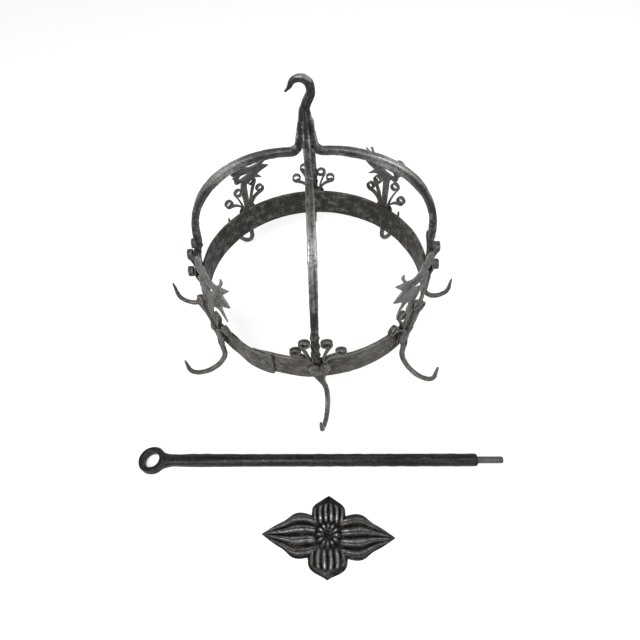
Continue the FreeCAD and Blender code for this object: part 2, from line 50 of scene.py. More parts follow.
# %% [markdown]
# ## Forged unevenness
# Hammered iron is never quite flat. A sum of sine waves that run every way gives a smooth random height
# at any point of space. It needs no texture and is the same each time, so a piece can be moved along its
# normals by a few tenths of a millimetre.

# %% Random height in space
SINES, SINE_SUM = 10, 3.2


def ripple(points, wave, seed):
    """Height of about -1 to 1 at each point: a sum of sines, each with its own way and a length near wave."""
    dice = np.random.default_rng(seed)
    ways = dice.normal(size=(SINES, 3))
    ways /= np.linalg.norm(ways, axis=1, keepdims=True)
    ways *= FULL_TURN / (wave * dice.uniform(0.6, 1.7, (SINES, 1)))
    return np.sin(points @ ways.T + dice.uniform(0, FULL_TURN, SINES)).sum(-1) / SINE_SUM


print("ripple at the origin", round(float(ripple(np.zeros(3), 20, 1)), 3))

# %% [markdown]
# ## Skins over rings
# Nearly every piece here is a closed skin over a row of rings, such as the cross-sections of a bar. Quads
# join neighbouring rings, and a fan closes each end. The signed volume says whether the faces look out.
# Each point also keeps marks for the finish: how rubbed it is or how much painted highlight it gets, how
# sooty it is or how much painted shade it gets, and its place along and round the bar.

# %% Skin helpers
MARKS = 6


def grid_quads(rows, columns, loop=False):
    """Quads of a grid that wraps round its columns, and round its rows too if it is a loop."""
    i = np.arange(rows if loop else rows - 1)[:, None]
    j = np.arange(columns)[None, :]
    below = (i + 1) % rows
    right = (j + 1) % columns
    corners = [i * columns + j, i * columns + right, below * columns + right, below * columns + j]
    return np.stack(np.broadcast_arrays(*corners), -1).reshape(-1, 4)


def skin(rings, wear_and_sheen=0.0, soot_and_shade=0.0, loop=False):
    """Points, quads, triangles and marks of a skin over rings; its ends get fans unless it is a loop."""
    rows, columns, _ = rings.shape
    middle = rings.mean(1)
    run = np.concatenate([[0.0], np.cumsum(np.linalg.norm(np.diff(middle, axis=0), axis=1))])
    marks = np.zeros((rows, columns, MARKS))
    marks[..., 0] = wear_and_sheen
    marks[..., 1] = soot_and_shade
    marks[..., 2] = run[:, None]
    marks[..., 3:] = rings - middle[:, None]
    points = rings.reshape(-1, 3)
    quads = grid_quads(rows, columns, loop)
    tris = np.zeros((0, 3), int)
    ends = marks[[0, -1]].mean(1)
    marks = marks.reshape(-1, MARKS)
    if not loop:
        j = np.arange(columns)
        right = (j + 1) % columns
        last = (rows - 1) * columns
        cap = np.full(columns, rows * columns)
        tris = np.concatenate([np.stack([right, j, cap], 1), np.stack([last + j, last + right, cap + 1], 1)])
        points = np.concatenate([points, middle[[0, -1]]])
        marks = np.concatenate([marks, ends])
    a, b, c, d = (points[quads[:, k]] for k in range(4))
    volume = np.einsum("ij,ij->i", a, np.cross(b, c) + np.cross(c, d)).sum()
    if len(tris):
        e, f, g = (points[tris[:, k]] for k in range(3))
        volume += np.einsum("ij,ij->i", e, np.cross(f, g)).sum()
    if volume < 0:
        quads = quads[:, ::-1]
        tris = tris[:, ::-1]
    return points, quads, tris, marks


# %% Put skins into one piece
def piece(name, skins, nodes, material, body="crown", crease=38):
    """One object from several skins: their points in metres, faces, marks, finish and CAD body."""
    starts = np.cumsum([0] + [len(s[0]) for s in skins])
    points = np.concatenate([s[0] for s in skins]) * MM
    faces = []
    for start, (_, quads, tris, _) in zip(starts, skins):
        faces += (quads + start).tolist() + (tris + start).tolist()
    mesh = bpy.data.meshes.new(name)
    mesh.from_pydata(points.tolist(), [], faces)
    marks = np.concatenate([s[3] for s in skins])
    for column, mark in enumerate(("wear_and_sheen", "soot_and_shade", "run")):
        mesh.attributes.new(mark, "FLOAT", "POINT").data.foreach_set("value", marks[:, column].copy())
    mesh.attributes.new("round", "FLOAT_VECTOR", "POINT").data.foreach_set("vector", marks[:, 3:].ravel())
    mesh.polygons.foreach_set("use_smooth", np.ones(len(mesh.polygons), bool))
    mesh.set_sharp_from_angle(angle=math.radians(crease))
    made = bpy.data.objects.new(name, mesh)
    bpy.context.collection.objects.link(made)
    mesh.materials.append(material)
    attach(made, body)
    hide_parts(*nodes)
    return made


def dented(rings, depth, wave, seed, about=None):
    """Moves each ring's points away from or towards the ring's middle by a ripple of that depth."""
    middle = rings.mean(1, keepdims=True) if about is None else about
    away = rings - middle
    away = away / np.maximum(np.linalg.norm(away, axis=-1, keepdims=True), 1e-6)
    return rings + away * (depth * ripple(rings, wave, seed))[..., None]


# %% [markdown]
# ## Finish shared by all the iron
# The crown is old iron: dark scale, a greyer bloom over it, a little brown, and bare metal where hands
# and pots rub. Drawn-out iron also has a grain along the bar. One node group mixes all this from noise and
# from each piece's marks, which also carry painted highlights, made as bare metal, and painted shade, made
# as scale. The grain is noise over the place round the bar, with the run along it as a slow fourth axis.

# %% Node helpers
def node(tree, kind, **values):
    """Adds a node and sets the values named after its properties or input sockets."""
    made = tree.nodes.new(kind)
    for key, value in values.items():
        if key in made.inputs:
            made.inputs[key].default_value = value
        else:
            setattr(made, key, value)
    return made


def noise(tree, place, scale, detail, roughness=0.6, run=None):
    """Noise over a place; with a run it gets a fourth axis."""
    made = node(tree, "ShaderNodeTexNoise", noise_dimensions="3D" if run is None else "4D",
                Scale=scale, Detail=detail, Roughness=roughness)
    tree.links.new(place, made.inputs["Vector"])
    if run is not None:
        tree.links.new(run, made.inputs["W"])
    return made.outputs["Fac"]


def remap(tree, value, low, high, to_low=0.0, to_high=1.0):
    """Straight line from one range to another, clamped."""
    made = tree.nodes.new("ShaderNodeMapRange")
    tree.links.new(value, made.inputs[0])
    for socket, number in zip(made.inputs[1:5], (low, high, to_low, to_high)):
        socket.default_value = number
    return made.outputs[0]


def maths(tree, operation, a, b):
    """One sum; a and b are sockets or numbers."""
    made = node(tree, "ShaderNodeMath", operation=operation)
    for socket, value in zip(made.inputs, (a, b)):
        if isinstance(value, (int, float)):
            socket.default_value = value
        else:
            tree.links.new(value, socket)
    return made.outputs[0]


def blend(tree, share, under, over):
    """Colour under, covered by over by a share."""
    made = node(tree, "ShaderNodeMix", data_type="RGBA")
    tree.links.new(share, made.inputs[0])
    tree.links.new(under, made.inputs[6])
    tree.links.new(over, made.inputs[7])
    return made.outputs[2]


# %% Iron node group
COLOURS = ("Scale", "Bloom", "Rust", "Bare")
NUMBERS = ("Bloom share", "Rust share", "Bare share", "Speckle", "Grain", "Rub", "Dull", "Gloss", "Dent")
RESULTS = (("Colour", "Color"), ("Metal", "Float"), ("Roughness", "Float"), ("Normal", "Vector"))


def iron_group():
    """Scale, bloom, rust and bare metal, mixed by noise, grain and marks, with their roughness and dents."""
    group = bpy.data.node_groups.new("worn_iron", "ShaderNodeTree")
    for name in COLOURS:
        group.interface.new_socket(name, in_out="INPUT", socket_type="NodeSocketColor")
    for name in NUMBERS:
        group.interface.new_socket(name, in_out="INPUT", socket_type="NodeSocketFloat")
    for name, kind in RESULTS:
        group.interface.new_socket(name, in_out="OUTPUT", socket_type="NodeSocket" + kind)
    given = group.nodes.new("NodeGroupInput").outputs
    place = group.nodes.new("ShaderNodeTexCoord").outputs["Object"]

    def mark(name, kind="Fac"):
        return node(group, "ShaderNodeAttribute", attribute_name=name).outputs[kind]

    def times(a, b):
        return maths(group, "MULTIPLY", a, b)

    def plus(a, b):
        return maths(group, "ADD", a, b)

    def less(a, b):
        return maths(group, "SUBTRACT", a, b)

    def patches(scale, detail, roughness, low, high):
        return remap(group, noise(group, place, scale, detail, roughness), low, high)

    grain = noise(group, mark("round", "Vector"), 0.32, 5, 0.65, times(mark("run"), 0.04))
    cloud = noise(group, place, 38, 7, 0.66)
    fine = noise(group, place, 260, 6, 0.75)
    streak = times(less(grain, 0.5), given["Grain"])
    shade = plus(times(plus(cloud, fine), 0.5), streak)
    bloom = times(remap(group, shade, 0.42, 0.58), given["Bloom share"])
    rust = times(patches(65, 5, 0.6, 0.48, 0.68), given["Rust share"])
    speck = times(patches(420, 4, 0.7, 0.56, 0.68), given["Speckle"])
    # Rubbing and the painted highlights in the wear marks take the black off in chips; soot and the painted
    # shade in the soot marks keep it on
    chips = remap(group, plus(fine, streak), 0.36, 0.64)
    edge = times(times(mark("wear_and_sheen"), given["Rub"]), remap(group, chips, 0.0, 1.0, 0.2, 1.0))
    worn = times(times(patches(75, 8, 0.75, 0.50, 0.66), given["Bare share"]), chips)
    bare = maths(group, "MINIMUM", plus(maths(group, "MAXIMUM", edge, worn), speck), 1.0)
    black = times(mark("soot_and_shade"), patches(75, 7, 0.72, 0.57, 0.49))
    bare = times(bare, less(1.0, times(black, 0.85)))
    colour = blend(group, bloom, given["Scale"], given["Bloom"])
    colour = blend(group, rust, colour, given["Rust"])
    colour = blend(group, times(black, 0.8), colour, given["Scale"])
    colour = blend(group, bare, colour, given["Bare"])
    gap = less(given["Dull"], given["Gloss"])
    rough = less(given["Dull"], times(plus(bare, 0.25), gap))
    height = plus(times(noise(group, place, 150, 3), 0.5), times(plus(fine, grain), 0.25))
    bump = node(group, "ShaderNodeBump", Distance=0.0012)
    group.links.new(given["Dent"], bump.inputs["Strength"])
    group.links.new(height, bump.inputs["Height"])
    out = group.nodes.new("NodeGroupOutput").inputs
    for socket, value in zip(out, (colour, bare, rough, bump.outputs["Normal"])):
        group.links.new(value, socket)
    return group


worn_iron = iron_group()
print("iron group", len(worn_iron.nodes), "nodes")

# %% Materials that place the group
SURFACE_SOCKETS = ("Base Color", "Metallic", "Roughness", "Normal")


def iron(name, scale, bloom, rust, bare, shine=0.12, **shares):
    """A Principled surface fed by the iron group; shine is its specular level, the shares are the numbers."""
    made = bpy.data.materials.new(name)
    made.use_nodes = True
    tree = made.node_tree
    surface = tree.nodes["Principled BSDF"]
    surface.inputs["Specular IOR Level"].default_value = shine
    mix = node(tree, "ShaderNodeGroup", node_tree=worn_iron)
    for socket, colour in zip(COLOURS, (scale, bloom, rust, bare)):
        mix.inputs[socket].default_value = (*colour, 1)
    for key, value in shares.items():
        mix.inputs[key.replace("_", " ").capitalize()].default_value = value
    for (result, _), socket in zip(RESULTS, SURFACE_SOCKETS):
        tree.links.new(mix.outputs[result], surface.inputs[socket])
    return made


band_iron = iron("band_iron", (0.022, 0.021, 0.019), (0.122, 0.114, 0.098), (0.085, 0.066, 0.046),
                 (0.25, 0.24, 0.22), bloom_share=1.0, rust_share=0.5, bare_share=0.6, speckle=0.25,
                 grain=0.15, rub=0.5, dull=0.60, gloss=0.38, dent=0.5)
bar_iron = iron("bar_iron", (0.014, 0.013, 0.012), (0.088, 0.085, 0.080), (0.060, 0.047, 0.036),
                (0.50, 0.50, 0.495), bloom_share=0.9, rust_share=0.3, bare_share=0.25, speckle=0.12,
                grain=0.9, rub=0.8, dull=0.48, gloss=0.28, dent=0.6)
neck_iron = iron("neck_iron", (0.006, 0.005, 0.0045), (0.034, 0.032, 0.029), (0.050, 0.040, 0.030),
                 (0.42, 0.41, 0.39), shine=0.1, bloom_share=0.7, rust_share=0.35, bare_share=0.2,
                 speckle=0.05, grain=0.9, rub=0.9, dull=0.38, gloss=0.20, dent=0.25)
hook_iron = iron("hook_iron", (0.018, 0.017, 0.015), (0.098, 0.093, 0.082), (0.072, 0.058, 0.042),
                 (0.30, 0.29, 0.27), bloom_share=1.0, rust_share=0.6, bare_share=0.6, speckle=0.25,
                 grain=0.5, rub=0.6, dull=0.55, gloss=0.34, dent=0.45)
sheet_iron = iron("sheet_iron", (0.036, 0.035, 0.032), (0.180, 0.177, 0.167), (0.110, 0.097, 0.080),
                  (0.32, 0.32, 0.31), bloom_share=0.9, rust_share=0.25, bare_share=0.3, speckle=0.6,
                  grain=0.0, rub=0.5, dull=0.60, gloss=0.42, dent=0.5)
rod_iron = iron("rod_iron", (0.004, 0.004, 0.0035), (0.016, 0.016, 0.0145), (0.022, 0.017, 0.012),
                (0.12, 0.12, 0.115), shine=0.07, bloom_share=0.9, rust_share=0.3, bare_share=0.4,
                speckle=0.15, grain=0.9, rub=0.3, dull=0.40, gloss=0.30, dent=0.5)
stud_steel = iron("stud_steel", (0.055, 0.055, 0.052), (0.10, 0.10, 0.095), (0.07, 0.058, 0.046),
                  (0.28, 0.28, 0.27), bloom_share=0.8, rust_share=0.25, bare_share=0.4, speckle=0.2,
                  grain=0.0, rub=0.8, dull=0.45, gloss=0.30, dent=0.15)
rosette_iron = iron("rosette_iron", (0.006, 0.005, 0.0045), (0.018, 0.016, 0.014), (0.036, 0.025, 0.016),
                    (0.46, 0.455, 0.45), shine=0.08, bloom_share=0.8, rust_share=0.5, bare_share=0.15,
                    speckle=0.08, grain=0.6, rub=0.68, dull=0.36, gloss=0.24, dent=0.25)
print("materials", [m.name for m in bpy.data.materials if m.name.endswith(("iron", "steel"))])

# %% [markdown]
# ## Bars along a path
# A smith's bar is one cross-section carried along a line while its width, thickness and twist change. The
# section is a rectangle with round corners, kept as two parts: where a point sits on the flat core, and
# which way its corner rounds. The same arrays then serve for every size of bar.

# %% Round-cornered section
SQUARE_SECTION = (5, 5, 4)


def section(flats_across, flats_through, corner_steps):
    """Core place from -1 to 1, outward corner step and corner mask of each point, one quarter at a time."""
    turn = np.linspace(0, np.pi / 2, corner_steps + 1)
    across = np.linspace(-1, 1, flats_across + 2)[1:-1]
    through = np.linspace(-1, 1, flats_through + 2)[1:-1]
    core, step, mask = [], [], []
    for quarter, (c, s) in enumerate(((1, 0), (0, 1), (-1, 0), (0, -1))):
        angle = turn + quarter * np.pi / 2
        flat = across if quarter % 2 == 0 else through
        core += [np.tile([c - s, c + s], (len(angle), 1)), np.stack([-flat * c - s, c - flat * s], 1)]
        step += [np.stack([np.cos(angle), np.sin(angle)], 1), np.tile([-s, c], (len(flat), 1))]
        mask += [np.ones(len(angle)), np.zeros(len(flat))]
    return np.concatenate(core), np.concatenate(step), np.concatenate(mask)


def bar(path, side, width, depth, corner, twist=0.0, shape=SQUARE_SECTION):
    """Rings of a bar: the section in the plane of side and of the path's normal, turned by the twist."""
    core, step, mask = section(*shape)
    along = np.gradient(path, axis=0)
    along /= np.linalg.norm(along, axis=1, keepdims=True)
    side = np.broadcast_to(np.asarray(side, float), path.shape)
    normal = np.cross(side, along)
    rows = np.ones(len(path))
    width, depth, corner, twist = (value * rows for value in (width, depth, corner, twist))
    u = core[:, 0] * (width / 2 - corner)[:, None] + step[:, 0] * corner[:, None]
    v = core[:, 1] * (depth / 2 - corner)[:, None] + step[:, 1] * corner[:, None]
    c, s = np.cos(twist)[:, None], np.sin(twist)[:, None]
    a, b = u * c - v * s, u * s + v * c
    rings = path[:, None] + side[:, None] * a[..., None] + normal[:, None] * b[..., None]
    return rings, np.broadcast_to(mask, rings.shape[:2])


def smooth(share):
    """Smoothstep from 0 to 1."""
    share = np.clip(share, 0, 1)
    return share * share * (3 - 2 * share)


def turned(points, degrees):
    """Turns points about the upright axis, such as from a station's frame: x outwards, y along the hoop."""
    a = math.radians(degrees)
    x, y, z = points[..., 0], points[..., 1], points[..., 2]
    return np.stack([x * math.cos(a) - y * math.sin(a), x * math.sin(a) + y * math.cos(a), z], -1)


arm_stations = {"front": 272.0, "right": 0.0, "rear": 89.0, "left": 180.0}
bird_stations = {"front_right": 315.0, "rear_right": 47.0, "rear_left": 130.0, "front_left": 220.5}
stations = {**arm_stations, **bird_stations}
print("section points", len(section(*SQUARE_SECTION)[0]))

# %% [markdown]
# ## The hoop
# One flat strip is bent round, and its outer end is stepped out over its inner end and riveted. So the
# path is a circle whose radius grows by one thickness near its end. The strip's edges waver a little in
# height, and its inner face, which nobody rubs, is still black with scale. Painted shade darkens the strip
# round the plates, and a painted shadow line lies where the stepped-out end passes over the strip.

# %% Hoop
band_radius, band_height, band_thickness, band_foot = 190.0, 52.0, 4.6, 51.0
lap_angle, lap_length, lap_gap, lap_ramp = 246.5, 33.0, 0.2, 46.0
scarf_length, scarf_edge, end_corner = 34.0, 0.7, 7.0
strip_rows, corner_rows = 560, 14
plate_shade_reach, lap_shadow_reach, inner_soot = 22, 2.4, 0.85


def hoop_rings():
    """Strip along the hoop: its radius ramps out by a thickness before the lap, its free end is rounded."""
    degree = 180 / (math.pi * band_radius)
    lap_from = lap_angle - lap_length * degree / 2
    last = lap_from + lap_length * degree + 360
    rounding = end_corner * degree
    angles = np.concatenate([np.linspace(lap_from + 0.3 * degree, last - rounding, strip_rows),
                             last - rounding * np.linspace(0.95, 0, corner_rows)])
    out = smooth((angles - 360 - lap_from + lap_ramp * degree) / (lap_ramp * degree))
    thick = scarf_edge + (band_thickness - scarf_edge) * smooth((angles - lap_from) / (scarf_length * degree))
    radius = band_radius - thick / 2 + out * (band_thickness + lap_gap)
    a = np.radians(angles)
    outward = np.stack([np.cos(a), np.sin(a), 0 * a], 1)
    path = outward * radius[:, None] + np.array([0, 0, band_foot + band_height / 2])
    short = np.clip(end_corner - (last - angles) / degree, 0, end_corner)
    cut = end_corner - np.sqrt(end_corner ** 2 - short ** 2)
    height = band_height - 0.8 + 0.6 * ripple(path, 120, 3) - 2 * cut
    rings, mask = bar(path, (0, 0, 1), height, thick, thick * 0.24, shape=(24, 1, 3))
    outward = np.broadcast_to(outward[:, None], rings.shape)
    within = np.einsum("ijk,ijk->ij", rings - path[:, None], outward) < 0
    rings = rings + outward * (0.35 * ripple(rings, 38, 4) + 0.12 * ripple(rings, 11, 5))[..., None]
    apart = np.abs((angles[:, None] - np.array(list(stations.values())) + 180) % 360 - 180).min(1) / degree
    past_lap = (angles - last + 360) / degree
    # Painted shade round the plates and a painted shadow line under the lapped end's edge: darker, and not
    # rubbed
    painted_shade = np.clip(np.exp(-(apart / plate_shade_reach) ** 2) + np.exp(-(past_lap / lap_shadow_reach) ** 2), 0, 1)
    return rings, mask * (1 - painted_shade)[:, None], np.where(within, inner_soot, painted_shade[:, None])


hoop = piece("hoop_strip", [skin(*hoop_rings())], ["ring_band"], band_iron)
print("hoop", len(hoop.data.vertices), "points")

# %% [markdown]
# ## The four arms
# Each arm is flat where it is riveted, twisted by three quarters of a turn above the hoop, and then springs
# in a quarter ellipse to the hub, where it bends up into a prong. The path is put together from those five
# runs. Each arm gets a painted highlight of bare metal at its own part of the arch, where the light falls,
# and painted shade below and above it.

# %% Arms
tab_face = band_radius + 2.6
tongue_foot_z, plate_top_z = band_foot + 22.0, band_foot + 50.0
tongue_top_z = plate_top_z + 3.5
tongue_width, tongue_depth, tongue_flow = 12.0, 4.3, 8.0
root_foot_z, root_top_z, root_size, root_top_size = 324.0, 368.0, 9.2, 5.3
foot_size, bar_size, prong_size, prong_top_size = 10.5, 12.2, 9.2, 2.8
bundle_gap, hub_bend, weld_spread = 0.35, 13.0, 1.3
twist_length, twist_turn = 50.0, 1.5 * np.pi
tongue_rows, twist_rows, arch_rows, bend_rows, prong_rows = 24, 56, 96, 20, 26
arch_radius = {"front": 184.0, "right": 188.0, "rear": 184.0, "left": 180.5}
foot_aside = {"front": -4.0, "right": 0.0, "rear": 0.0, "left": 0.0}
# Where along the arch each arm gets its painted highlight, and how strong it is
highlight_part = {"front": (0.45, 0.46), "right": (0.64, 0.70), "rear": (0.5, 0.5), "left": (0.62, 0.60)}


def arm_rings(spring, aside, highlight_at, highlight_strength, seed):
    """Tongue, twist, quarter ellipse, bend and prong as one path of radius and height, with sizes."""
    foot = tab_face + 2.2
    taper = (root_size - root_top_size + prong_size - prong_top_size) / 2
    turn = math.pi / 2 - math.atan2(taper, root_top_z - root_foot_z)
    prong_r = root_size / 2 + bundle_gap + prong_size / 2
    top_r = root_top_size / 2 + bundle_gap + prong_top_size / 2
    end_r = prong_r + hub_bend * math.sin(turn)
    end_z = root_foot_z - hub_bend * (1 - math.cos(turn))
    twist_from = tongue_top_z + tongue_flow
    twist_to = twist_from + twist_length
    tongue = np.linspace(tongue_foot_z, twist_from, tongue_rows, endpoint=False)
    wring = np.linspace(0, 1, twist_rows, endpoint=False)
    arch = np.linspace(0, np.pi / 2, arch_rows, endpoint=False)
    bend = np.linspace(0, turn, bend_rows, endpoint=False)
    prong = np.linspace(0, 1, prong_rows)
    r = np.concatenate([np.full(tongue.shape, foot), foot + (spring - foot) * smooth(wring),
                        end_r + (spring - end_r) * np.cos(arch), end_r - hub_bend * np.sin(bend),
                        prong_r + (top_r - prong_r) * prong])
    z = np.concatenate([tongue, twist_from + wring * twist_length,
                        twist_to + (end_z - twist_to) * np.sin(arch),
                        end_z + hub_bend * (1 - np.cos(bend)),
                        root_foot_z + (root_top_z - root_foot_z) * prong])
    share = arch / (np.pi / 2)
    belly = np.interp(share, [0, 0.5, 1], [foot_size, bar_size, prong_size])
    flat = smooth((tongue - tongue_top_z) / tongue_flow)
    tip = np.sqrt(np.clip(1 - np.clip((6 - (tongue - tongue_foot_z)) / 6.4, 0, 1) ** 2, 0.02, 1))
    pointed = prong_size + weld_spread + (prong_top_size - prong_size) * prong
    rest = [np.full(twist_rows, foot_size), belly, prong_size + weld_spread * smooth(bend / turn), pointed]
    width = np.concatenate([(tongue_width + (foot_size - tongue_width) * flat) * tip] + rest)
    depth = np.concatenate([tongue_depth + (foot_size - tongue_depth) * flat] + rest)
    wrung = twist_turn * np.clip((wring - 0.04) / 0.90, 0, 1)
    twist = np.concatenate([0 * tongue, wrung, np.full(arch_rows + bend_rows + prong_rows, twist_turn)])
    path = np.stack([r, 0 * r, z], 1)
    free = smooth((z - tongue_top_z) / 30) * smooth((root_foot_z - 2 - z) / 20)
    shifted = aside * smooth((z - plate_top_z + 20) / 25) * (1 - smooth((z - 140) / 180))
    path[:, 1] += free * 0.7 * ripple(path, 160, seed) + shifted
    thick = 1 + 0.035 * ripple(path, 26, seed + 1) * free
    rings, mask = bar(path, (0, 1, 0), width * thick, depth * thick, np.minimum(width, depth) * 0.13, twist)
    rings = dented(rings, 0.16, 9, seed + 2)
    way = np.concatenate([0 * tongue, 0 * wring, share, np.ones(bend_rows + prong_rows)])
    welded = smooth((z - end_z) / 12)
    # Painted shade on the low part of each arm and past its painted highlight, and a darker hub
    painted_low_shade = 0.9 * (1 - smooth((way - 0.16) / 0.24))
    soot_and_shade = painted_low_shade + 0.5 * smooth((way - highlight_at - 0.10) / 0.2) + 0.45 * welded
    # Painted highlight: a band of bare metal where the light falls on each arch, and a little rubbing all
    # along
    painted_highlight = highlight_strength * np.exp(-((way - highlight_at) / 0.11) ** 2) + 0.08
    # Worn corners, with painted highlight streaks on the corners of the prongs
    edge = 0.3 + 0.9 * welded
    return rings, mask * edge[:, None] + painted_highlight[:, None], soot_and_shade[:, None]


for number, (name, angle) in enumerate(arm_stations.items()):
    rings, wear_and_sheen, soot_and_shade = arm_rings(arch_radius[name], foot_aside[name], *highlight_part[name], 20 + 5 * number)
    made = piece("arm_bar_" + name, [skin(turned(rings, angle), wear_and_sheen, soot_and_shade)], ["arm_" + name], bar_iron)
print("arms", len(made.data.vertices), "points each")

# %% [markdown]
# ## The swan hook
# Its square root stands between the prongs, and its stem grows out of the forge weld there. The neck leans
# right, turns over to the left and flicks out. The line is five runs that each turn evenly, so heading and
# place are running sums of small turns along it.

# %% Swan hook
root_rows = 20


def swan_path():
    """Stem, neck, belly, crown and beak: each run turns evenly, and the place is the sum of the steps."""
    turns = np.radians([-25.0, 0.0, 53.0, 126.0, -30.0])
    lengths = np.array([14.0, 18.5, 16.0 * turns[2], 11.8 * turns[3], 11.0])
    steps = [12, 18, 20, 44, 20]
    turn = np.repeat(turns / steps, steps)
    heading = math.radians(90) + np.cumsum(turn) - turn / 2
    stride = np.repeat(lengths / steps, steps)
    moves = np.stack([stride * np.cos(heading), 0 * stride, stride * np.sin(heading)], 1)
    path = np.concatenate([np.zeros((1, 3)), np.cumsum(moves, 0)])
    path += np.array([-0.8, 0, root_top_z]) - path[steps[0]]
    size = np.interp(np.arange(len(path)), np.cumsum([0] + steps), [6.5, 11.4, 11.2, 10.2, 6.2, 2.2])
    return path, size


swan_line, swan_size = swan_path()
swan_rings, swan_mask = bar(swan_line, (0, 1, 0), swan_size, swan_size, swan_size * 0.36, shape=(2, 2, 4))
swan_rings = dented(swan_rings, 0.22, 10, 61)
root_z = np.linspace(root_foot_z, root_top_z + 2, root_rows)
root_width = np.linspace(root_size, root_top_size, root_rows)
root_line = np.stack([0 * root_z, 0 * root_z, root_z], 1)
root_rings, root_mask = bar(root_line, (0, 1, 0), root_width, root_width, 0.8)
# Painted highlight: bare metal on the side of the bend that faces up and towards the camera
away = swan_rings - swan_rings.mean(1, keepdims=True)
crest = smooth((away @ np.array([0.25, -0.45, 0.86]) / np.linalg.norm(away, axis=-1) - 0.72) / 0.2)
swan_skins = [skin(swan_rings, swan_mask * 0.15 + crest * 0.9, 0.45),
              skin(root_rings, root_mask * 0.4, 0.8)]
piece("swan_neck", swan_skins, ["swan_hook"], neck_iron)
print("swan hook top", round(float(swan_rings[..., 2].max()), 1), "mm")

# %% [markdown]
# ## Heart plates and pot hooks
# Each hook was forged in one with its heart: the iron was spread for the plate and drawn down for the hook.
# The plate is a stack of outlines, from a point on the front over a soft rim to a point on the back. The
# hook starts flat inside the plate and becomes round as it comes out under it.

# %% Outline tools
def arc(first, middle, last, count):
    """Points of the circle through three points, without the last: centre from chords, then even angles."""
    a, b, c = (complex(*p) for p in (first, middle, last))
    w = (c - a) / (b - a)
    centre = (b - a) * (w - abs(w) ** 2) / (2j * w.imag) + a
    start, half, stop = (np.angle(p - centre) for p in (a, b, c))
    way = 1 if ((half - start) % FULL_TURN) < ((stop - start) % FULL_TURN) else -1
    sweep = way * ((way * (stop - start)) % FULL_TURN)
    spin = centre + abs(a - centre) * np.exp(1j * (start + sweep * np.arange(count) / count))
    return np.stack([spin.real, spin.imag], 1)


def line(first, last, count):
    """Evenly spaced points from first up to last, without the last."""
    share = np.arange(count)[:, None] / count
    return np.asarray(first, float) * (1 - share) + np.asarray(last, float) * share


def trace(start, runs):
    """Line through runs that follow each other: (count, end) is straight, (count, middle, end) is an arc."""
    parts = []
    for count, *ahead in runs:
        draw = line if len(ahead) == 1 else arc
        parts.append(draw(start, *ahead, count))
        start = ahead[-1]
    return np.concatenate(parts)


def heart_outline():
    """Right half of the heart as arcs from its drawn point to its notch, and its mirror image back down."""
    half, point, foot, top = 17.0, 4.0, band_foot + 7.0, plate_top_z + 4.0
    wide, lobe, notch = (half, top - 12.0), (half * 0.48, top), (0.0, top - 6.0)
    right = trace((point, foot), [(26, (half * 0.72, (foot + wide[1]) / 2), wide),
                                  (20, (half * 0.90, top - 3.6), lobe),
                                  (14, (half * 0.15, top - 2.7), notch)])
    left = np.concatenate([[notch], right[:0:-1] * np.array([-1, 1]), [(-point, foot)]])
    return np.concatenate([right, left])


heart = heart_outline()
print("heart outline", len(heart), "points")

# %% Hearts
plate_thickness = 4.0
lobe_swell, lobe_aside, lobe_up = 2.6, 9.2, 43.0
arm_layer, bird_layer = 4.4, 2.4
layer = {name: arm_layer if name in arm_stations else bird_layer for name in stations}


def heart_skin(face, seed):
    """Scaled hearts from the front's centre over a rounded rim to the back; two lobes swell in front."""
    middle = np.array([0.0, band_foot + 31.0])
    scale = np.array([0.02, 0.12, 0.24, 0.36, 0.48, 0.60, 0.72, 0.82,
                      0.90, 0.955, 0.985, 1.0, 1.0, 0.97, 0.6, 0.02])
    depth = np.array([3.8, 3.8, 3.8, 3.8, 3.8, 3.8, 3.8, 3.75,
                      3.6, 3.2, 2.7, 2.1, 0.8, 0.3, 0.25, 0.25])
    rings = np.zeros((len(scale), len(heart), 3))
    rings[..., 1:] = middle + scale[:, None, None] * (heart - middle)
    front = (depth > 2)[:, None]
    y, z = rings[..., 1], rings[..., 2] - band_foot
    away = (np.abs(y) - lobe_aside) ** 2 + (z - lobe_up) ** 2
    swell = lobe_swell * np.exp(-away / 52) * smooth((1.0 - scale) / 0.22)[:, None]
    crease = np.exp(-((z - 37.5 - 0.05 * y ** 2) / 1.5) ** 2 - (y / 6.5) ** 2)
    crease = crease + np.exp(-(y / 1.7) ** 2) * smooth((z - 39.0) / 3)
    beaten = 0.25 * ripple(rings, 8, seed) - 0.3
    rings[..., 0] = face + depth[:, None] + np.where(front, swell - 1.3 * crease + beaten, 0.0)
    rim = ((scale > 0.78) & (scale < 0.93))[:, None]
    inner = front & (scale <= 0.95)[:, None]
    # Rubbed on the swell of the lobes, and a painted highlight on a band just inside the rim
    wear_and_sheen = np.where(inner, np.clip(swell / lobe_swell, 0, 1) * 0.5 + 0.4 * rim, 0.0)
    # Painted shade in the crease and the notch, and all over the rim's walls and the back
    soot_and_shade = np.where(inner, np.clip(1.2 * crease, 0, 1), 1.0)
    return rings, wear_and_sheen, soot_and_shade


print("plates lie", sorted(set(layer.values())), "mm off the tabs")

# %% Pot hooks
# Radius of the bend, height of the tip, turn in degrees and sideways bow of each hook
hook_shape = {"front": (33.0, 56.0, 0.0, 10.0), "front_right": (32.0, 64.0, 0.0, 0.0),
              "right": (21.5, 50.0, 0.0, 0.0), "rear_right": (26.0, 50.0, 0.0, 0.0),
              "rear": (26.0, 50.0, 5.0, 4.0), "rear_left": (28.0, 48.0, 18.0, 0.0),
              "left": (26.0, 62.0, 0.0, 0.0), "front_left": (31.0, 60.0, -10.0, 0.0)}
shank_offset, root_offset, shank_size, bend_size = 2.8, 2.0, 8.8, 7.8
curl_size, tip_size, point_size = bend_size + 0.4, 6.8, 3.0
shank_rows, curl_rows, tip_rows = 44, 60, 20


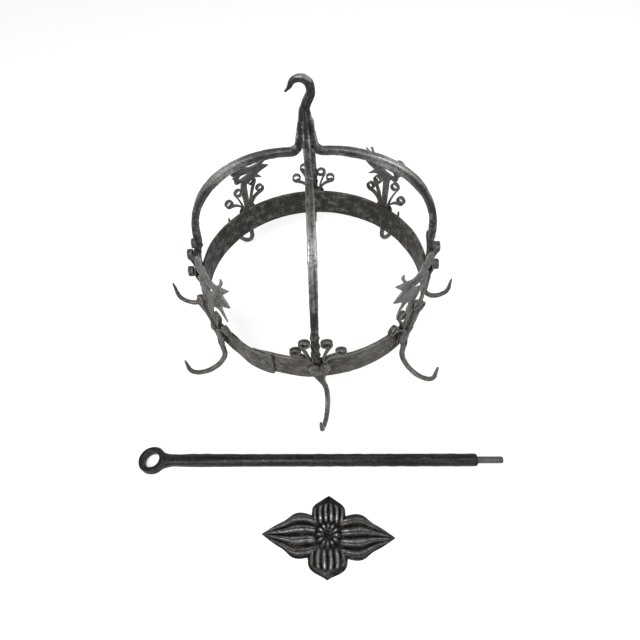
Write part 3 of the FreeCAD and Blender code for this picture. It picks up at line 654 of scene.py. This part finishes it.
def hook_rings(face, bend_radius, tip_z, turn, bow, seed):
    """Shank, half circle and tip as one path, bowed by half a sine; flat in the plate, round below it."""
    shank, low = face + shank_offset, bend_size / 2 + bend_radius
    down = np.linspace(band_foot + 28.0, low, shank_rows, endpoint=False)
    half = np.linspace(0, np.pi, curl_rows, endpoint=False)
    rise = np.linspace(low, tip_z, tip_rows)
    out = smooth((band_foot + 20.0 - down) / 15.0)
    ahead = np.concatenate([0 * down, bend_radius * (1 - np.cos(half)), np.full(tip_rows, 2 * bend_radius)])
    z = np.concatenate([down, low - bend_radius * np.sin(half), rise])
    r = np.concatenate([face + root_offset + (shank_offset - root_offset) * out,
                        np.full(curl_rows + tip_rows, shank)])
    a = math.radians(turn)
    bow_top, bow_turn = band_foot + 16.0, math.radians(136)
    run = np.concatenate([bow_top - down, bow_top - low + bend_radius * half,
                          bow_top + bend_radius * np.pi + rise - 2 * low])
    bow_length = bow_top - low + bend_radius * bow_turn
    past = np.clip((run - bow_length) / (run[-1] - bow_length), 0, 1)
    path = np.stack([r + ahead * math.cos(a), ahead * math.sin(a), z], 1)
    path[:, 1] += bow * (np.sin(np.pi * np.clip(run / bow_length, 0, 1)) - 0.26 * past)
    size = np.concatenate([np.linspace(shank_size, curl_size, shank_rows),
                           np.linspace(curl_size, tip_size, curl_rows),
                           np.linspace(tip_size, point_size, tip_rows)])
    width = size.copy()
    depth = size.copy()
    width[:shank_rows] += 8.5 * (1 - smooth((band_foot + 22.0 - down) / 24.0))
    depth[:shank_rows] -= 5.2 * (1 - smooth((band_foot + 19.0 - down) / 13.0))
    blunt = np.clip((np.linspace(0, 1, tip_rows) - 0.8) / 0.2, 0, 1)
    rounded = np.concatenate([np.ones(shank_rows + curl_rows), np.sqrt(np.clip(1 - blunt ** 2, 0.05, 1))])
    plain = np.array([0.0, 1.0, 0.0])
    sides = plain + smooth(ahead / 6.0)[:, None] * (np.array([-math.sin(a), math.cos(a), 0.0]) - plain)
    corner = np.minimum(width, depth) * rounded * 0.40
    rings, mask = bar(path, sides, width * rounded, depth * rounded, corner, shape=(3, 2, 4))
    return dented(rings, 0.18, 8, seed), mask * 0.5


for number, (name, angle) in enumerate(stations.items()):
    face = tab_face + layer[name]
    plate, plate_wear_and_sheen, plate_soot_and_shade = heart_skin(face, 70 + number)
    bent, bent_wear = hook_rings(face, *hook_shape[name], 90 + number)
    skins = [skin(turned(plate, angle), plate_wear_and_sheen, plate_soot_and_shade), skin(turned(bent, angle), bent_wear)]
    made = piece("heart_hook_" + name, skins, ["hook_" + name], hook_iron)
print("hooks", len(stations), "of", len(made.data.vertices), "points")

# %% [markdown]
# ## Scroll sprays
# A tab under each plate is split into four ribbons. They rise in a bundle, fan out, and each is rolled into
# one open ring. A ribbon's line is again a running sum of turns: a bow away from the middle, and then the
# ring back towards it. No two sprays are alike, so each station's dice change the turns a little.

# %% Sprays
ribbon_width, ribbon_thickness, tab_width = 8.0, 2.5, 22.0
tab_rows, bow_steps, ring_steps = 24, 26, 34
inner_bow, outer_bow, steeper = 117.0, 27.7, 14.6
roll_tilt = {"front": 7.0, "front_right": 14.0, "front_left": 14.0}
spray_aside = {"front": -3.4}
inner_lift = {"front": 5.0}


def ribbon_line(start, heading, runs):
    """Running sum of small steps; a run is (first radius, last radius, turn in degrees, steps)."""
    turns, lengths = [], []
    for first, last, degrees, steps in runs:
        radius = np.linspace(first, last, steps)
        small = math.radians(degrees) / steps
        turns.append(np.full(steps, small))
        lengths.append(np.abs(radius * small))
    turn = np.concatenate(turns)
    angle = math.radians(heading) + np.cumsum(turn) - turn / 2
    stride = np.concatenate(lengths)
    moves = np.stack([0 * stride, stride * np.cos(angle), stride * np.sin(angle)], 1)
    return np.concatenate([np.zeros((1, 3)), np.cumsum(moves, 0)]) + np.array([0.0, *start])


def spray_skins(tilt, aside, lift, steep, seed):
    """Tab and four ribbons; each ribbon is a flat strip on its line, tipped up as it comes to its ring."""
    dice = np.random.default_rng(seed)
    near, root_z = band_radius + 0.3, plate_top_z + 1.5
    tab_z = np.linspace(band_foot + 11.0, root_z + 1.2, tab_rows)
    tab_line = np.stack([np.full(tab_rows, band_radius + 1.3), 0 * tab_z, tab_z], 1)
    skins = [bar(tab_line, (0, 1, 0), tab_width, ribbon_thickness, 0.5, shape=(8, 1, 2))]
    for side in (1, -1):
        slack = dice.uniform(-1, 1, 6)
        more = steeper if steep and side < 0 else 0.0
        ring = [(7.3 + 0.3 * slack[0], 7.0, 200, ring_steps),
                (6.4, 4.9 + 0.3 * slack[1], 190 + 25 * slack[2], ring_steps)]
        inner_run = (inner_bow, inner_bow, -20.8 + 3 * slack[3], bow_steps)
        outer_run = (outer_bow, outer_bow, -65.4 - more * 0.7 + 6 * slack[2], bow_steps)
        inner = ribbon_line((8.2, root_z), 80.8, [inner_run] + ring)
        outer = ribbon_line((9.4, root_z), 70.4 + more, [outer_run] + ring)
        for strip, lean, high in ((inner, slack[4], lift), (outer, slack[5], 0.0)):
            path = strip * np.array([1, side, 1]) + np.array([near + 4.0, 0, 0])
            rise = np.clip((path[:, 2] - root_z) / 40, 0, 1)
            path[:, 0] += 1.4 * lean * rise
            path[:, 1] += aside * smooth(rise * 4)
            path[:, 2] += high * smooth(rise * 1.2)
            tip = math.radians(tilt) * smooth(rise * 1.6) * (1 + 0.3 * lean)
            sides = np.stack([np.cos(tip), 0 * tip, np.sin(tip)], 1)
            rings, mask = bar(path, sides, ribbon_width - 0.8 * rise, ribbon_thickness, 0.6, shape=(4, 1, 2))
            skins.append((dented(rings, 0.08, 6, seed + side), mask))
    return skins


for number, (name, angle) in enumerate(stations.items()):
    fit = [table.get(name, 0.0) for table in (roll_tilt, spray_aside, inner_lift)]
    fan = spray_skins(*fit, name == "front", 120 + number)
    skins = [skin(turned(rings, angle), mask * 0.8) for rings, mask in fan]
    made = piece("spray_ribbons_" + name, skins, ["spray_" + name], hook_iron)
print("sprays", len(stations), "of", len(made.data.vertices), "points")

# %% [markdown]
# ## Sheet birds
# The birds are cut from sheet with a chisel, so their edge is a free outline with a hole for the wing. A
# grid can't follow that, so the outline is filled with triangles between evenly spread points. The flat
# sheet is then laid on its bent stem: straight up to the bend, and leaning inwards above it.

# %% Bird outline
bird_foot, bird_sheet, stem_half, neck_half, tilt_centre = 147.0, 2.4, 5.5, 6.7, 33.0
# Which way each bird looks, its shift along the hoop, its tilt and its lean inwards in degrees
bird_fit = {"front_right": (-1, -10.0, 0.0, 8.0), "rear_right": (1, 0.0, 0.0, 12.0),
            "rear_left": (-1, 5.0, -9.0, 24.0), "front_left": (1, 4.0, 0.0, 14.0)}
tail_spikes = ((23.8, 25.7), (44.7, 39.9), (25.5, 47.9), (40.1, 66.1), (22.5, 59.8), (28, 73), (22.5, 75.5))


def bird_outline(shift, tilt):
    """Stem, tail spikes, back, head and breast in turn, and the wing slot, as closed lines of (along, up)."""
    a = math.radians(tilt)

    def rise(along, height):
        up_by = height - tilt_centre
        return (along * math.cos(a) - up_by * math.sin(a) + shift,
                bird_foot + tilt_centre + along * math.sin(a) + up_by * math.cos(a))

    neck_z = bird_foot + neck_half
    stem = [(6, (stem_half, tongue_foot_z)), (14, (stem_half, plate_top_z)), (26, (neck_half, neck_z))]
    tail = [(10, rise(12, 15.5), rise(23, 17)), (10, rise(39.4, 8.9))]
    tail += [(12, rise(*spike)) for spike in tail_spikes]
    back = [(24, rise(6.8, 54.1), rise(-14, 61)), (5, rise(-17.3, 68.8)), (5, rise(-24, 64))]
    head = [(18, rise(-33.2, 73), rise(-42.3, 65.4)), (14, rise(-41, 53), rise(-29, 46)),
            (6, rise(-34.2, 39.2))]
    breast = [(10, rise(-28, 31), rise(-26.5, 25)), (12, rise(-21.8, 19.5), rise(-11, 20))]
    down = [(8, (-neck_half, neck_z)), (26, (-stem_half, plate_top_z)), (14, (-stem_half, tongue_foot_z))]
    slot_start = rise(-13.5, 28.5)
    slot = [(14, rise(6.5, 38.5)), (14, rise(-13.5, 38.5)), (12, rise(-18.5, 33.5), slot_start)]
    edge = trace((-stem_half, tongue_foot_z), stem + tail + back + head + breast + down)
    return edge, trace(slot_start, slot)


def inside(points, loop):
    """Whether each point is inside a closed line, by counting the edges that a ray to the right crosses."""
    x, y = points[:, None, 0], points[:, None, 1]
    a, b = loop[None], np.roll(loop, -1, 0)[None]
    crosses = (a[..., 1] > y) != (b[..., 1] > y)
    height = np.where(b[..., 1] == a[..., 1], 1, b[..., 1] - a[..., 1])
    return (crosses & (x < a[..., 0] + (y - a[..., 1]) / height * (b[..., 0] - a[..., 0]))).sum(1) % 2 == 1


print("bird outline", len(bird_outline(0, 0)[0]), "points")

# %% Bird sheets
half_span, sheet_top, across_step, up_step, rim_clear = 60, 226, 4.0, 3.5, 1.6


def rim_distance(points, rim):
    """Distance of each point to the nearest point of the rim."""
    return np.sqrt(((points[:, None] - rim[None]) ** 2).sum(-1)).min(1)


def bird_sheet_mesh(shift, tilt):
    """Triangles that fill the outline without its slot, with points spread inside for the beating."""
    edge, slot = bird_outline(shift, tilt)
    x, y = np.meshgrid(np.arange(-half_span, half_span, across_step),
                       np.arange(tongue_foot_z + 2, sheet_top, up_step))
    spread = np.stack([x + across_step / 2 * (np.arange(len(x)) % 2)[:, None], y], -1).reshape(-1, 2)
    rim = np.concatenate([edge, slot])
    clear = rim_distance(spread, rim) > rim_clear
    spread = spread[inside(spread, edge) & ~inside(spread, slot) & clear]
    points = np.concatenate([rim, spread])
    ring = np.arange(len(edge))
    hole = len(edge) + np.arange(len(slot))
    seams = np.concatenate([np.stack([loop, np.roll(loop, -1)], 1) for loop in (ring, hole)])
    found = delaunay_2d_cdt([Vector(p) for p in points.tolist()], seams.tolist(), [], 0, 1e-5)
    flat = np.array([tuple(v) for v in found[0]])
    tris = np.array(found[2])
    middle = flat[tris].mean(1)
    return flat, tris[inside(middle, edge) & ~inside(middle, slot)], rim


def triangle_edges(tris):
    """The three edges of every triangle as pairs of points."""
    return np.concatenate([tris[:, [0, 1]], tris[:, [1, 2]], tris[:, [2, 0]]])


def bird_skin(side, shift, tilt, bend, seed):
    """Front and back copies of the filled sheet and a wall at every free edge, laid on the leaning stem."""
    flat, tris, rim = bird_sheet_mesh(shift, tilt)
    once, count = np.unique(np.sort(triangle_edges(tris), 1), axis=0, return_counts=True)
    free = once[count == 1]
    level = np.linspace(60, 240, 400)
    lean = math.radians(bend) * smooth((level - bird_foot + 8) / 16)
    step = level[1] - level[0]
    inward = np.interp(flat[:, 1], level, np.cumsum(np.sin(lean)) * step)
    drop = np.interp(flat[:, 1], level, np.cumsum(1 - np.cos(lean)) * step)
    tip = np.interp(flat[:, 1], level, lean)
    base = np.stack([tab_face + 1.2 - inward, side * flat[:, 0], flat[:, 1] - drop], 1)
    normal = np.stack([np.cos(tip), 0 * tip, np.sin(tip)], 1)
    loose = smooth((flat[:, 1] - bird_foot) / 15)
    beaten = loose * (0.9 * ripple(base, 45, seed) + 0.15 * ripple(base, 10, seed + 1))
    base = base + normal * beaten[:, None]
    points = np.concatenate([base + normal * bird_sheet / 2, base - normal * bird_sheet / 2])
    a, b, c = (base[tris[:, k]] for k in range(3))
    facing = np.einsum("ij,ij->i", np.cross(b - a, c - a), normal[tris[:, 0]]) > 0
    front = np.where(facing[:, None], tris, tris[:, ::-1])
    walls = triangle_edges(front)
    key = np.sort(walls, 1) @ np.array([len(flat), 1])
    walls = walls[np.isin(key, free @ np.array([len(flat), 1]))]
    quads = np.stack([walls[:, 1], walls[:, 0], walls[:, 0] + len(flat), walls[:, 1] + len(flat)], 1)
    marks = np.concatenate([np.zeros((len(points), 3)), points], 1)
    marks[:, 0] = np.tile((rim_distance(flat, rim) < 0.4) * 0.8, 2)
    return points, quads, np.concatenate([front, front[:, ::-1] + len(flat)]), marks


for number, (name, angle) in enumerate(bird_stations.items()):
    points, *faces_and_marks = bird_skin(*bird_fit[name], 150 + 3 * number)
    skins = [(turned(points, angle), *faces_and_marks)]
    made = piece("sheet_bird_" + name, skins, ["bird_" + name], sheet_iron, crease=30)
    soft = made.modifiers.new("chiselled edge", "BEVEL")
    soft.width, soft.segments, soft.angle_limit = 0.00045, 2, math.radians(40)
print("birds", len(bird_stations), "of", len(made.data.vertices), "points")

# %% [markdown]
# ## Rivets
# A rivet shows as a low hammered dome outside and as a flattened tail inside the hoop. Both are turned
# shapes, so a rivet is one stack of circles along the radius.

# %% Rivets
rivet_z, rivet_sides = band_foot + 30.0, 28


def rivet_skin(outer, seed):
    """Circles along the radial axis: inner tail, shank and outer head, with their faces beaten uneven."""
    inner = band_radius - band_thickness - 0.1
    along = np.array([-1.25, -1.2, -0.9, -0.2, 0.0, 0.02]) + inner
    size = np.array([0.2, 2.6, 4.0, 4.75, 4.6, 3.0])
    dome = np.array([-0.6, -0.3, 0.2, 0.7, 1.15, 1.45, 1.55]) + outer
    dome_size = np.array([3.0, 5.25, 5.15, 4.6, 3.5, 1.9, 0.2])
    x, r = np.concatenate([along, dome]), np.concatenate([size, dome_size])
    turn = np.linspace(0, FULL_TURN, rivet_sides, endpoint=False)
    wobble = 1 + 0.05 * np.sin(2 * turn + seed) + 0.03 * np.sin(5 * turn + 2 * seed)
    rings = np.stack(np.broadcast_arrays(x[:, None], r[:, None] * wobble * np.cos(turn),
                                         rivet_z + r[:, None] * wobble * np.sin(turn)), -1)
    wear_and_sheen = np.broadcast_to(np.where(x > outer, 0.7, 0.2)[:, None], rings.shape[:2])
    return rings, wear_and_sheen


def rivet_set(name, places, outer, nodes):
    """The rivets of one group at their stations."""
    skins = []
    for number, angle in enumerate(places):
        rings, wear_and_sheen = rivet_skin(outer, number + outer)
        skins.append(skin(turned(rings, angle), wear_and_sheen))
    piece(name, skins, nodes, hook_iron, crease=60)


rivet_set("arm_rivet_heads", arm_stations.values(), tab_face + arm_layer + plate_thickness,
          ["arm_rivets"])
rivet_set("bird_rivet_heads", bird_stations.values(), tab_face + bird_layer + plate_thickness,
          ["bird_rivets"])
rivet_set("lap_rivet_head", [lap_angle], band_radius + lap_gap + band_thickness, ["lap_rivet"])
print("rivets at", len(stations) + 1, "places")

# %% [markdown]
# ## Rod and stud
# The rod is a round bar, a little faceted by the hammer, drawn in to a forged eye. The stud's thread is
# real geometry: the radius of each point follows a triangle wave of its turn and its place along the axis.

# %% Rod
eye_place, rod_turn, rod_size, rod_end = np.array([-243.0, -299.0, 8.65]), -1.2, 17.3, 473.0
eye_radius, eye_half_width, eye_half_depth, eye_corner, eye_rows = 15.0, 4.0, 6.5, 1.9, 96
neck_from, neck_to, neck_size = 13.0, 90.0, 15.2


def laid(points):
    """From the rod's frame, eye at the origin and shank along x, to where the rod lies."""
    return turned(points, rod_turn) + eye_place


def rod_skins():
    """Bar from the eye's rim to the shoulder, spread where it flows into the eye, and the eye's ring."""
    x = np.concatenate([np.linspace(neck_from, neck_to, 70, endpoint=False),
                        np.linspace(neck_to, rod_end - 1.6, 150), [rod_end - 0.7, rod_end]])
    path = np.stack([x, 0 * x, 0 * x], 1)
    size = neck_size + (rod_size - neck_size) * smooth((x - 15.0) / 62.0)
    size[-2:] -= np.array([1.0, 3.0])
    spread = 9.5 * np.exp(-(np.clip(x - neck_from, 0, None) / 8.0) ** 1.4)
    depth = np.minimum(size, 12.8 + 4.5 * smooth((x - 15.0) / 30.0))
    corner = np.minimum(size, depth) * (0.30 + 0.14 * smooth((x - 40) / 120))
    rings, mask = bar(path, (0, 1, 0), size + spread, depth, corner, shape=(3, 3, 5))
    rings = dented(rings, 0.16, 16, 201)
    rings[..., 2] = np.maximum(rings[..., 2], -rod_size / 2)
    turn = np.linspace(0, FULL_TURN, eye_rows, endpoint=False)
    out = np.stack([np.cos(turn), np.sin(turn), 0 * turn], 1)
    circle = eye_radius * out
    core, step, eye_mask = section(3, 4, 4)
    u = core[:, 0] * (eye_half_width - eye_corner) + step[:, 0] * eye_corner
    v = core[:, 1] * (eye_half_depth - eye_corner) + step[:, 1] * eye_corner
    eye = circle[:, None] + out[:, None] * u[None, :, None] + np.array([0, 0, 1.0]) * v[None, :, None]
    eye = dented(eye, 0.22, 12, 203, circle[:, None])
    return [skin(laid(rings), mask * 0.6), skin(laid(eye), eye_mask * 0.7, loop=True)]


rod = piece("forged_rod", rod_skins(), ["hanger_rod"], rod_iron, "hanger_rod")
print("rod", len(rod.data.vertices), "points")

# %% Stud
stud_radius, stud_end, thread_pitch, thread_depth = 5.0, 510.0, 1.5, 0.85
stud_rows, stud_sides = 380, 36


def stud_rings():
    """Radius less the depth times a clipped triangle wave of turn and place, chamfered at the end."""
    x = np.linspace(rod_end, stud_end, stud_rows)
    turn = np.linspace(0, FULL_TURN, stud_sides, endpoint=False)
    phase = (x[:, None] / thread_pitch - turn / FULL_TURN) % 1.0
    crest = np.clip(np.abs(2 * phase - 1) * 1.25 - 0.12, 0, 1)
    radius = stud_radius - thread_depth * (1 - crest)
    radius = np.minimum(radius, stud_radius - 1.0 + (stud_end - x)[:, None])
    rings = np.stack(np.broadcast_arrays(x[:, None], radius * np.cos(turn), radius * np.sin(turn)), -1)
    return laid(rings), crest * 0.8


stud = piece("cut_stud", [skin(*stud_rings())], ["rod_stud"], stud_steel, "hanger_rod", 60)
print("stud", len(stud.data.vertices), "points")

# %% [markdown]
# ## Rosette
# The ceiling rosette is cast: two long pointed petals and two short ones with ribs that run to their tips,
# round a small cup of leaves. A petal is a grid with one parameter along it and one across it. Its height
# is a dome times a wave across, so the ribs get closer as the petal narrows. Width and height are smooth
# curves through a few measured values.

# %% Petals
rosette_place, rosette_turn = np.array([13.3, -404.0, 0.0]), -2.6
petal_rows, top_points, back_points = 120, 91, 13
back_z, petal_edge = 0.2, 2.4


def at_rosette(points, turn):
    """Turns a petal about the rosette's middle and lays it in its place."""
    return turned(points, turn + rosette_turn) + rosette_place


def curve(u, knots, values):
    """Cubic line through the knots, with each knot's slope taken from its neighbours."""
    knots, values = np.asarray(knots), np.asarray(values)
    slope = np.gradient(values, knots)
    i = np.clip(np.searchsorted(knots, u) - 1, 0, len(knots) - 2)
    gap = knots[i + 1] - knots[i]
    t = np.clip((u - knots[i]) / gap, 0, 1)
    bend = t * (1 - t) * gap * ((1 - t) * slope[i] - t * slope[i + 1])
    return values[i] + (values[i + 1] - values[i]) * smooth(t) + bend


def petal_rings(reach, half_width, crown, rib_pairs, rib_end, sway, score, highlight_knuckle_at):
    """Rings across the petal: pairs of scored ribs beside a middle groove, over a flat back."""
    u = np.linspace(0.06, 1.0, petal_rows)[:, None]
    v = np.concatenate([np.linspace(-1, 1, top_points), np.linspace(1, -1, back_points)[1:-1]])[None]
    top = np.arange(v.size) < top_points
    bent = v + sway * np.sin(FULL_TURN * u) * (1 - v ** 2)
    ribs = np.abs(np.sin(rib_pairs * np.pi * bent)) ** 0.7
    scored = np.exp(-(np.cos(rib_pairs * np.pi * (bent + 0.03)) / 0.2) ** 2)
    wave = ribs * (1 - score * scored)
    dome = np.clip(1 - v ** 2, 0, 1) ** 0.55
    ribbed = smooth((rib_end - 0.14 * v ** 2 - u) / 0.07)
    lag = u - 0.07 * (1 - wave) * (u < 0.5)
    body = curve(lag, *crown) * (0.34 + 0.66 * dome) * (0.80 + 0.20 * ribbed)
    z = np.where(top, petal_edge + body * (1 - 0.60 * ribbed * (1 - wave)), back_z)
    y = curve(u, *half_width) * v
    x = u * reach + 0 * v
    knuckle_highlight = np.exp(-((u - highlight_knuckle_at) / 0.05) ** 2)
    # Rubbed bare along the rib crests, with a painted highlight at the knuckles where the ribs end near the
    # cup
    wear_and_sheen = np.where(top, ribbed * wave ** 4 * dome * (0.68 + 0.7 * knuckle_highlight), 0.0)
    # Painted shade along the border and where the ribs have ended; the grooves are dark as patina and as
    # painted shade
    rim = np.maximum(smooth((np.abs(v) - 0.80) / 0.14), 0.7 * (1 - ribbed))
    soot_and_shade = np.where(top, np.maximum(np.clip(1.4 * (1 - wave), 0, 1) * ribbed, rim), 0.5)
    return np.stack([x, y, z], -1), wear_and_sheen, soot_and_shade


long_half = ([0, 0.10, 0.20, 0.30, 0.40, 0.48, 0.55, 0.62, 0.67, 0.76, 0.86, 0.94, 1.0],
             [13.5, 18.5, 23.0, 26.4, 28.2, 27.9, 25.6, 20.8, 17.6, 13.6, 8.6, 4.0, 0.6])
upper_half = ([0, 0.15, 0.30, 0.45, 0.58, 0.69, 0.78, 0.85, 0.90, 0.95, 1.0],
              [12.2, 17.0, 20.6, 22.6, 23.0, 21.8, 18.0, 12.8, 8.8, 5.0, 0.6])
lower_half = ([0, 0.15, 0.30, 0.45, 0.60, 0.71, 0.80, 0.86, 0.91, 0.95, 1.0],
              [12.2, 17.6, 22.0, 25.0, 25.8, 24.6, 21.0, 16.4, 10.4, 5.6, 0.6])
long_crown = ([0, 0.14, 0.20, 0.30, 0.45, 0.70, 0.90, 1.0], [1.0, 1.6, 5.0, 8.4, 8.8, 6.4, 3.0, 0.8])
short_crown = ([0, 0.24, 0.34, 0.48, 0.70, 0.86, 0.94, 1.0], [1.0, 1.8, 5.6, 8.2, 7.8, 5.0, 3.6, 1.4])
# Pairs of ribs, where they end, their sway, the depth of their score, and the place of the knuckle's painted
# highlight
long_ribs, short_ribs = (2, 1.10, 0.05, 0.3, 0.25), (3, 0.82, 0.02, 0.0, 0.42)

petals = []
for turn, reach, half_width, crown, ribs in ((0, 89.0, long_half, long_crown, long_ribs),
                                             (180, 89.0, long_half, long_crown, long_ribs),
                                             (90, 51.0, upper_half, short_crown, short_ribs),
                                             (270, 51.0, lower_half, short_crown, short_ribs)):
    rings, wear_and_sheen, soot_and_shade = petal_rings(reach, half_width, crown, *ribs)
    petals.append(skin(at_rosette(rings, turn), wear_and_sheen, soot_and_shade))
print("petals", len(petals))

# %% Calyx
hole_radius, cup_from, cup_radius, skirt_radius, leaf_pairs, cup_sides = 5.4, 6.2, 17.5, 26.0, 6, 216
cup_profile = ([5.4, 6.5, 9.0, 12.5, 15.5, 17.0, 18.0, 21.0, 24.0, 26.0],
               [13.6, 14.0, 15.4, 16.0, 13.6, 9.4, 6.2, 5.0, 5.0, 3.0])


def calyx_rings():
    """Loop of circles: hole wall, a cup of twelve small leaves, a moat, a skirt and the flat back."""
    radius = np.concatenate([[hole_radius] * 3, np.linspace(5.9, 17.0, 26),
                             np.linspace(17.8, skirt_radius, 12), [skirt_radius, 18.0]])
    level = np.interp(radius, *cup_profile)
    level[[0, 1, -2, -1]] = (back_z, 7.0, back_z, back_z)
    turn = np.linspace(0, FULL_TURN, cup_sides, endpoint=False)
    leaf = np.abs(np.cos(leaf_pairs * turn)) ** 0.7
    cup = np.where((radius > cup_from) & (radius < cup_radius), smooth((radius - cup_from) / 5.0), 0.0)
    z = level[:, None] - cup[:, None] * 3.6 * (1 - leaf)[None]
    scallop = np.where((radius > 14) & (radius < cup_radius), 1.6, 0.0)
    r = radius[:, None] - scallop[:, None] * (1 - leaf)[None]
    rings = np.stack([r * np.cos(turn), r * np.sin(turn), z], -1)
    shown = (cup * (1 - 0.75 * smooth((radius - 10.5) / 4.0)))[:, None] * leaf[None]
    return at_rosette(rings, 0), shown * leaf[None] ** 2 * 0.9, 1 - shown


petals.append(skin(*calyx_rings(), loop=True))
rosette = piece("cast_rosette", petals, ["rosette"], rosette_iron, "rosette", 50)
print("rosette", len(rosette.data.vertices), "points")

# %% [markdown]
# ## Floor, light and camera
# The set was photographed on white. The floor is pale and keeps the shadows, and for rays that come from
# the camera, a reflection or through glass it is lifted to white. The camera was found by fitting the
# hoop's two ellipses, so it is written as the place and the three axes of that fit.

# %% Floor
FLOOR_HALF, FLOOR_Z, FLOOR_GREY, FLOOR_LIFT = 6, -0.0004, 0.40, 0.75


def seen_directly(tree):
    """1 for camera, glossy and transmission rays."""
    rays = tree.nodes.new("ShaderNodeLightPath").outputs
    both = maths(tree, "MAXIMUM", rays["Is Camera Ray"], rays["Is Glossy Ray"])
    return maths(tree, "MAXIMUM", both, rays["Is Transmission Ray"])


def floor_material():
    """Pale floor, white when seen directly; ambient occlusion cuts both as painted shade, so deep holes stay
    dark.
    """
    made = bpy.data.materials.new("pale_floor")
    made.use_nodes = True
    tree = made.node_tree
    surface = tree.nodes["Principled BSDF"]
    surface.inputs["Roughness"].default_value = 0.9
    surface.inputs["Specular IOR Level"].default_value = 0.0
    surface.inputs["Emission Color"].default_value = (1, 1, 1, 1)
    # Painted shade: the floor's grey and its white lift are cut where ambient occlusion finds close walls, as
    # in the rosette's hole
    nearby = node(tree, "ShaderNodeAmbientOcclusion", Distance=0.014).outputs["AO"]
    painted_openness = remap(tree, nearby, 0.22, 0.42)
    tree.links.new(maths(tree, "MULTIPLY", painted_openness, FLOOR_GREY), surface.inputs["Base Color"])
    lift = maths(tree, "MULTIPLY", seen_directly(tree), painted_openness)
    tree.links.new(maths(tree, "MULTIPLY", lift, FLOOR_LIFT), surface.inputs["Emission Strength"])
    return made


floor_mesh = bpy.data.meshes.new("floor")
corners = [(x * FLOOR_HALF, y * FLOOR_HALF, FLOOR_Z) for x, y in ((-1, -1), (1, -1), (1, 1), (-1, 1))]
floor_mesh.from_pydata(corners, [], [(0, 1, 2, 3)])
floor = bpy.data.objects.new("floor", floor_mesh)
bpy.context.collection.objects.link(floor)
floor_mesh.materials.append(floor_material())
print("floor at", floor_mesh.vertices[0].co.z)

# %% World and lamps
scene = bpy.context.scene
scene.view_settings.view_transform = "Standard"
world = bpy.data.worlds.new("studio")
scene.world = world
world.use_nodes = True
sky_tree = world.node_tree
sky = sky_tree.nodes["Background"]
sky.inputs["Color"].default_value = (1, 1, 1, 1)
sky_tree.links.new(remap(sky_tree, seen_directly(sky_tree), 0, 1, 0.30, 1.0), sky.inputs["Strength"])


def softbox(name, place, aim, size, watts):
    """Square area lamp that looks at a point."""
    lamp = bpy.data.lights.new(name, "AREA")
    lamp.size, lamp.energy = size, watts
    made = bpy.data.objects.new(name, lamp)
    made.location = place
    made.rotation_euler = (Vector(aim) - Vector(place)).to_track_quat("-Z", "Y").to_euler()
    bpy.context.collection.objects.link(made)


softbox("key_softbox", (-0.5, -1.1, 1.7), (0, -0.1, 0.1), 0.8, 38)
softbox("fill_softbox", (1.3, -0.3, 1.5), (0, -0.1, 0.1), 1.2, 14)

# %% Camera
lens = bpy.data.cameras.new("photo_camera")
lens.lens, lens.sensor_width = 24.725, 36.0
camera = bpy.data.objects.new("photo_camera", lens)
right = (0.99945666, -0.01287255, -0.03034277)
up = (0.02814945, 0.812256, 0.58262149)
back = (0.01714627, -0.58315906, 0.81217702)
camera.matrix_world = Matrix((right, up, back)).transposed().to_4x4()
camera.location = (0.020640, -0.511878, 0.648302)
bpy.context.collection.objects.link(camera)
scene.camera = camera
print("camera height", camera.location.z)
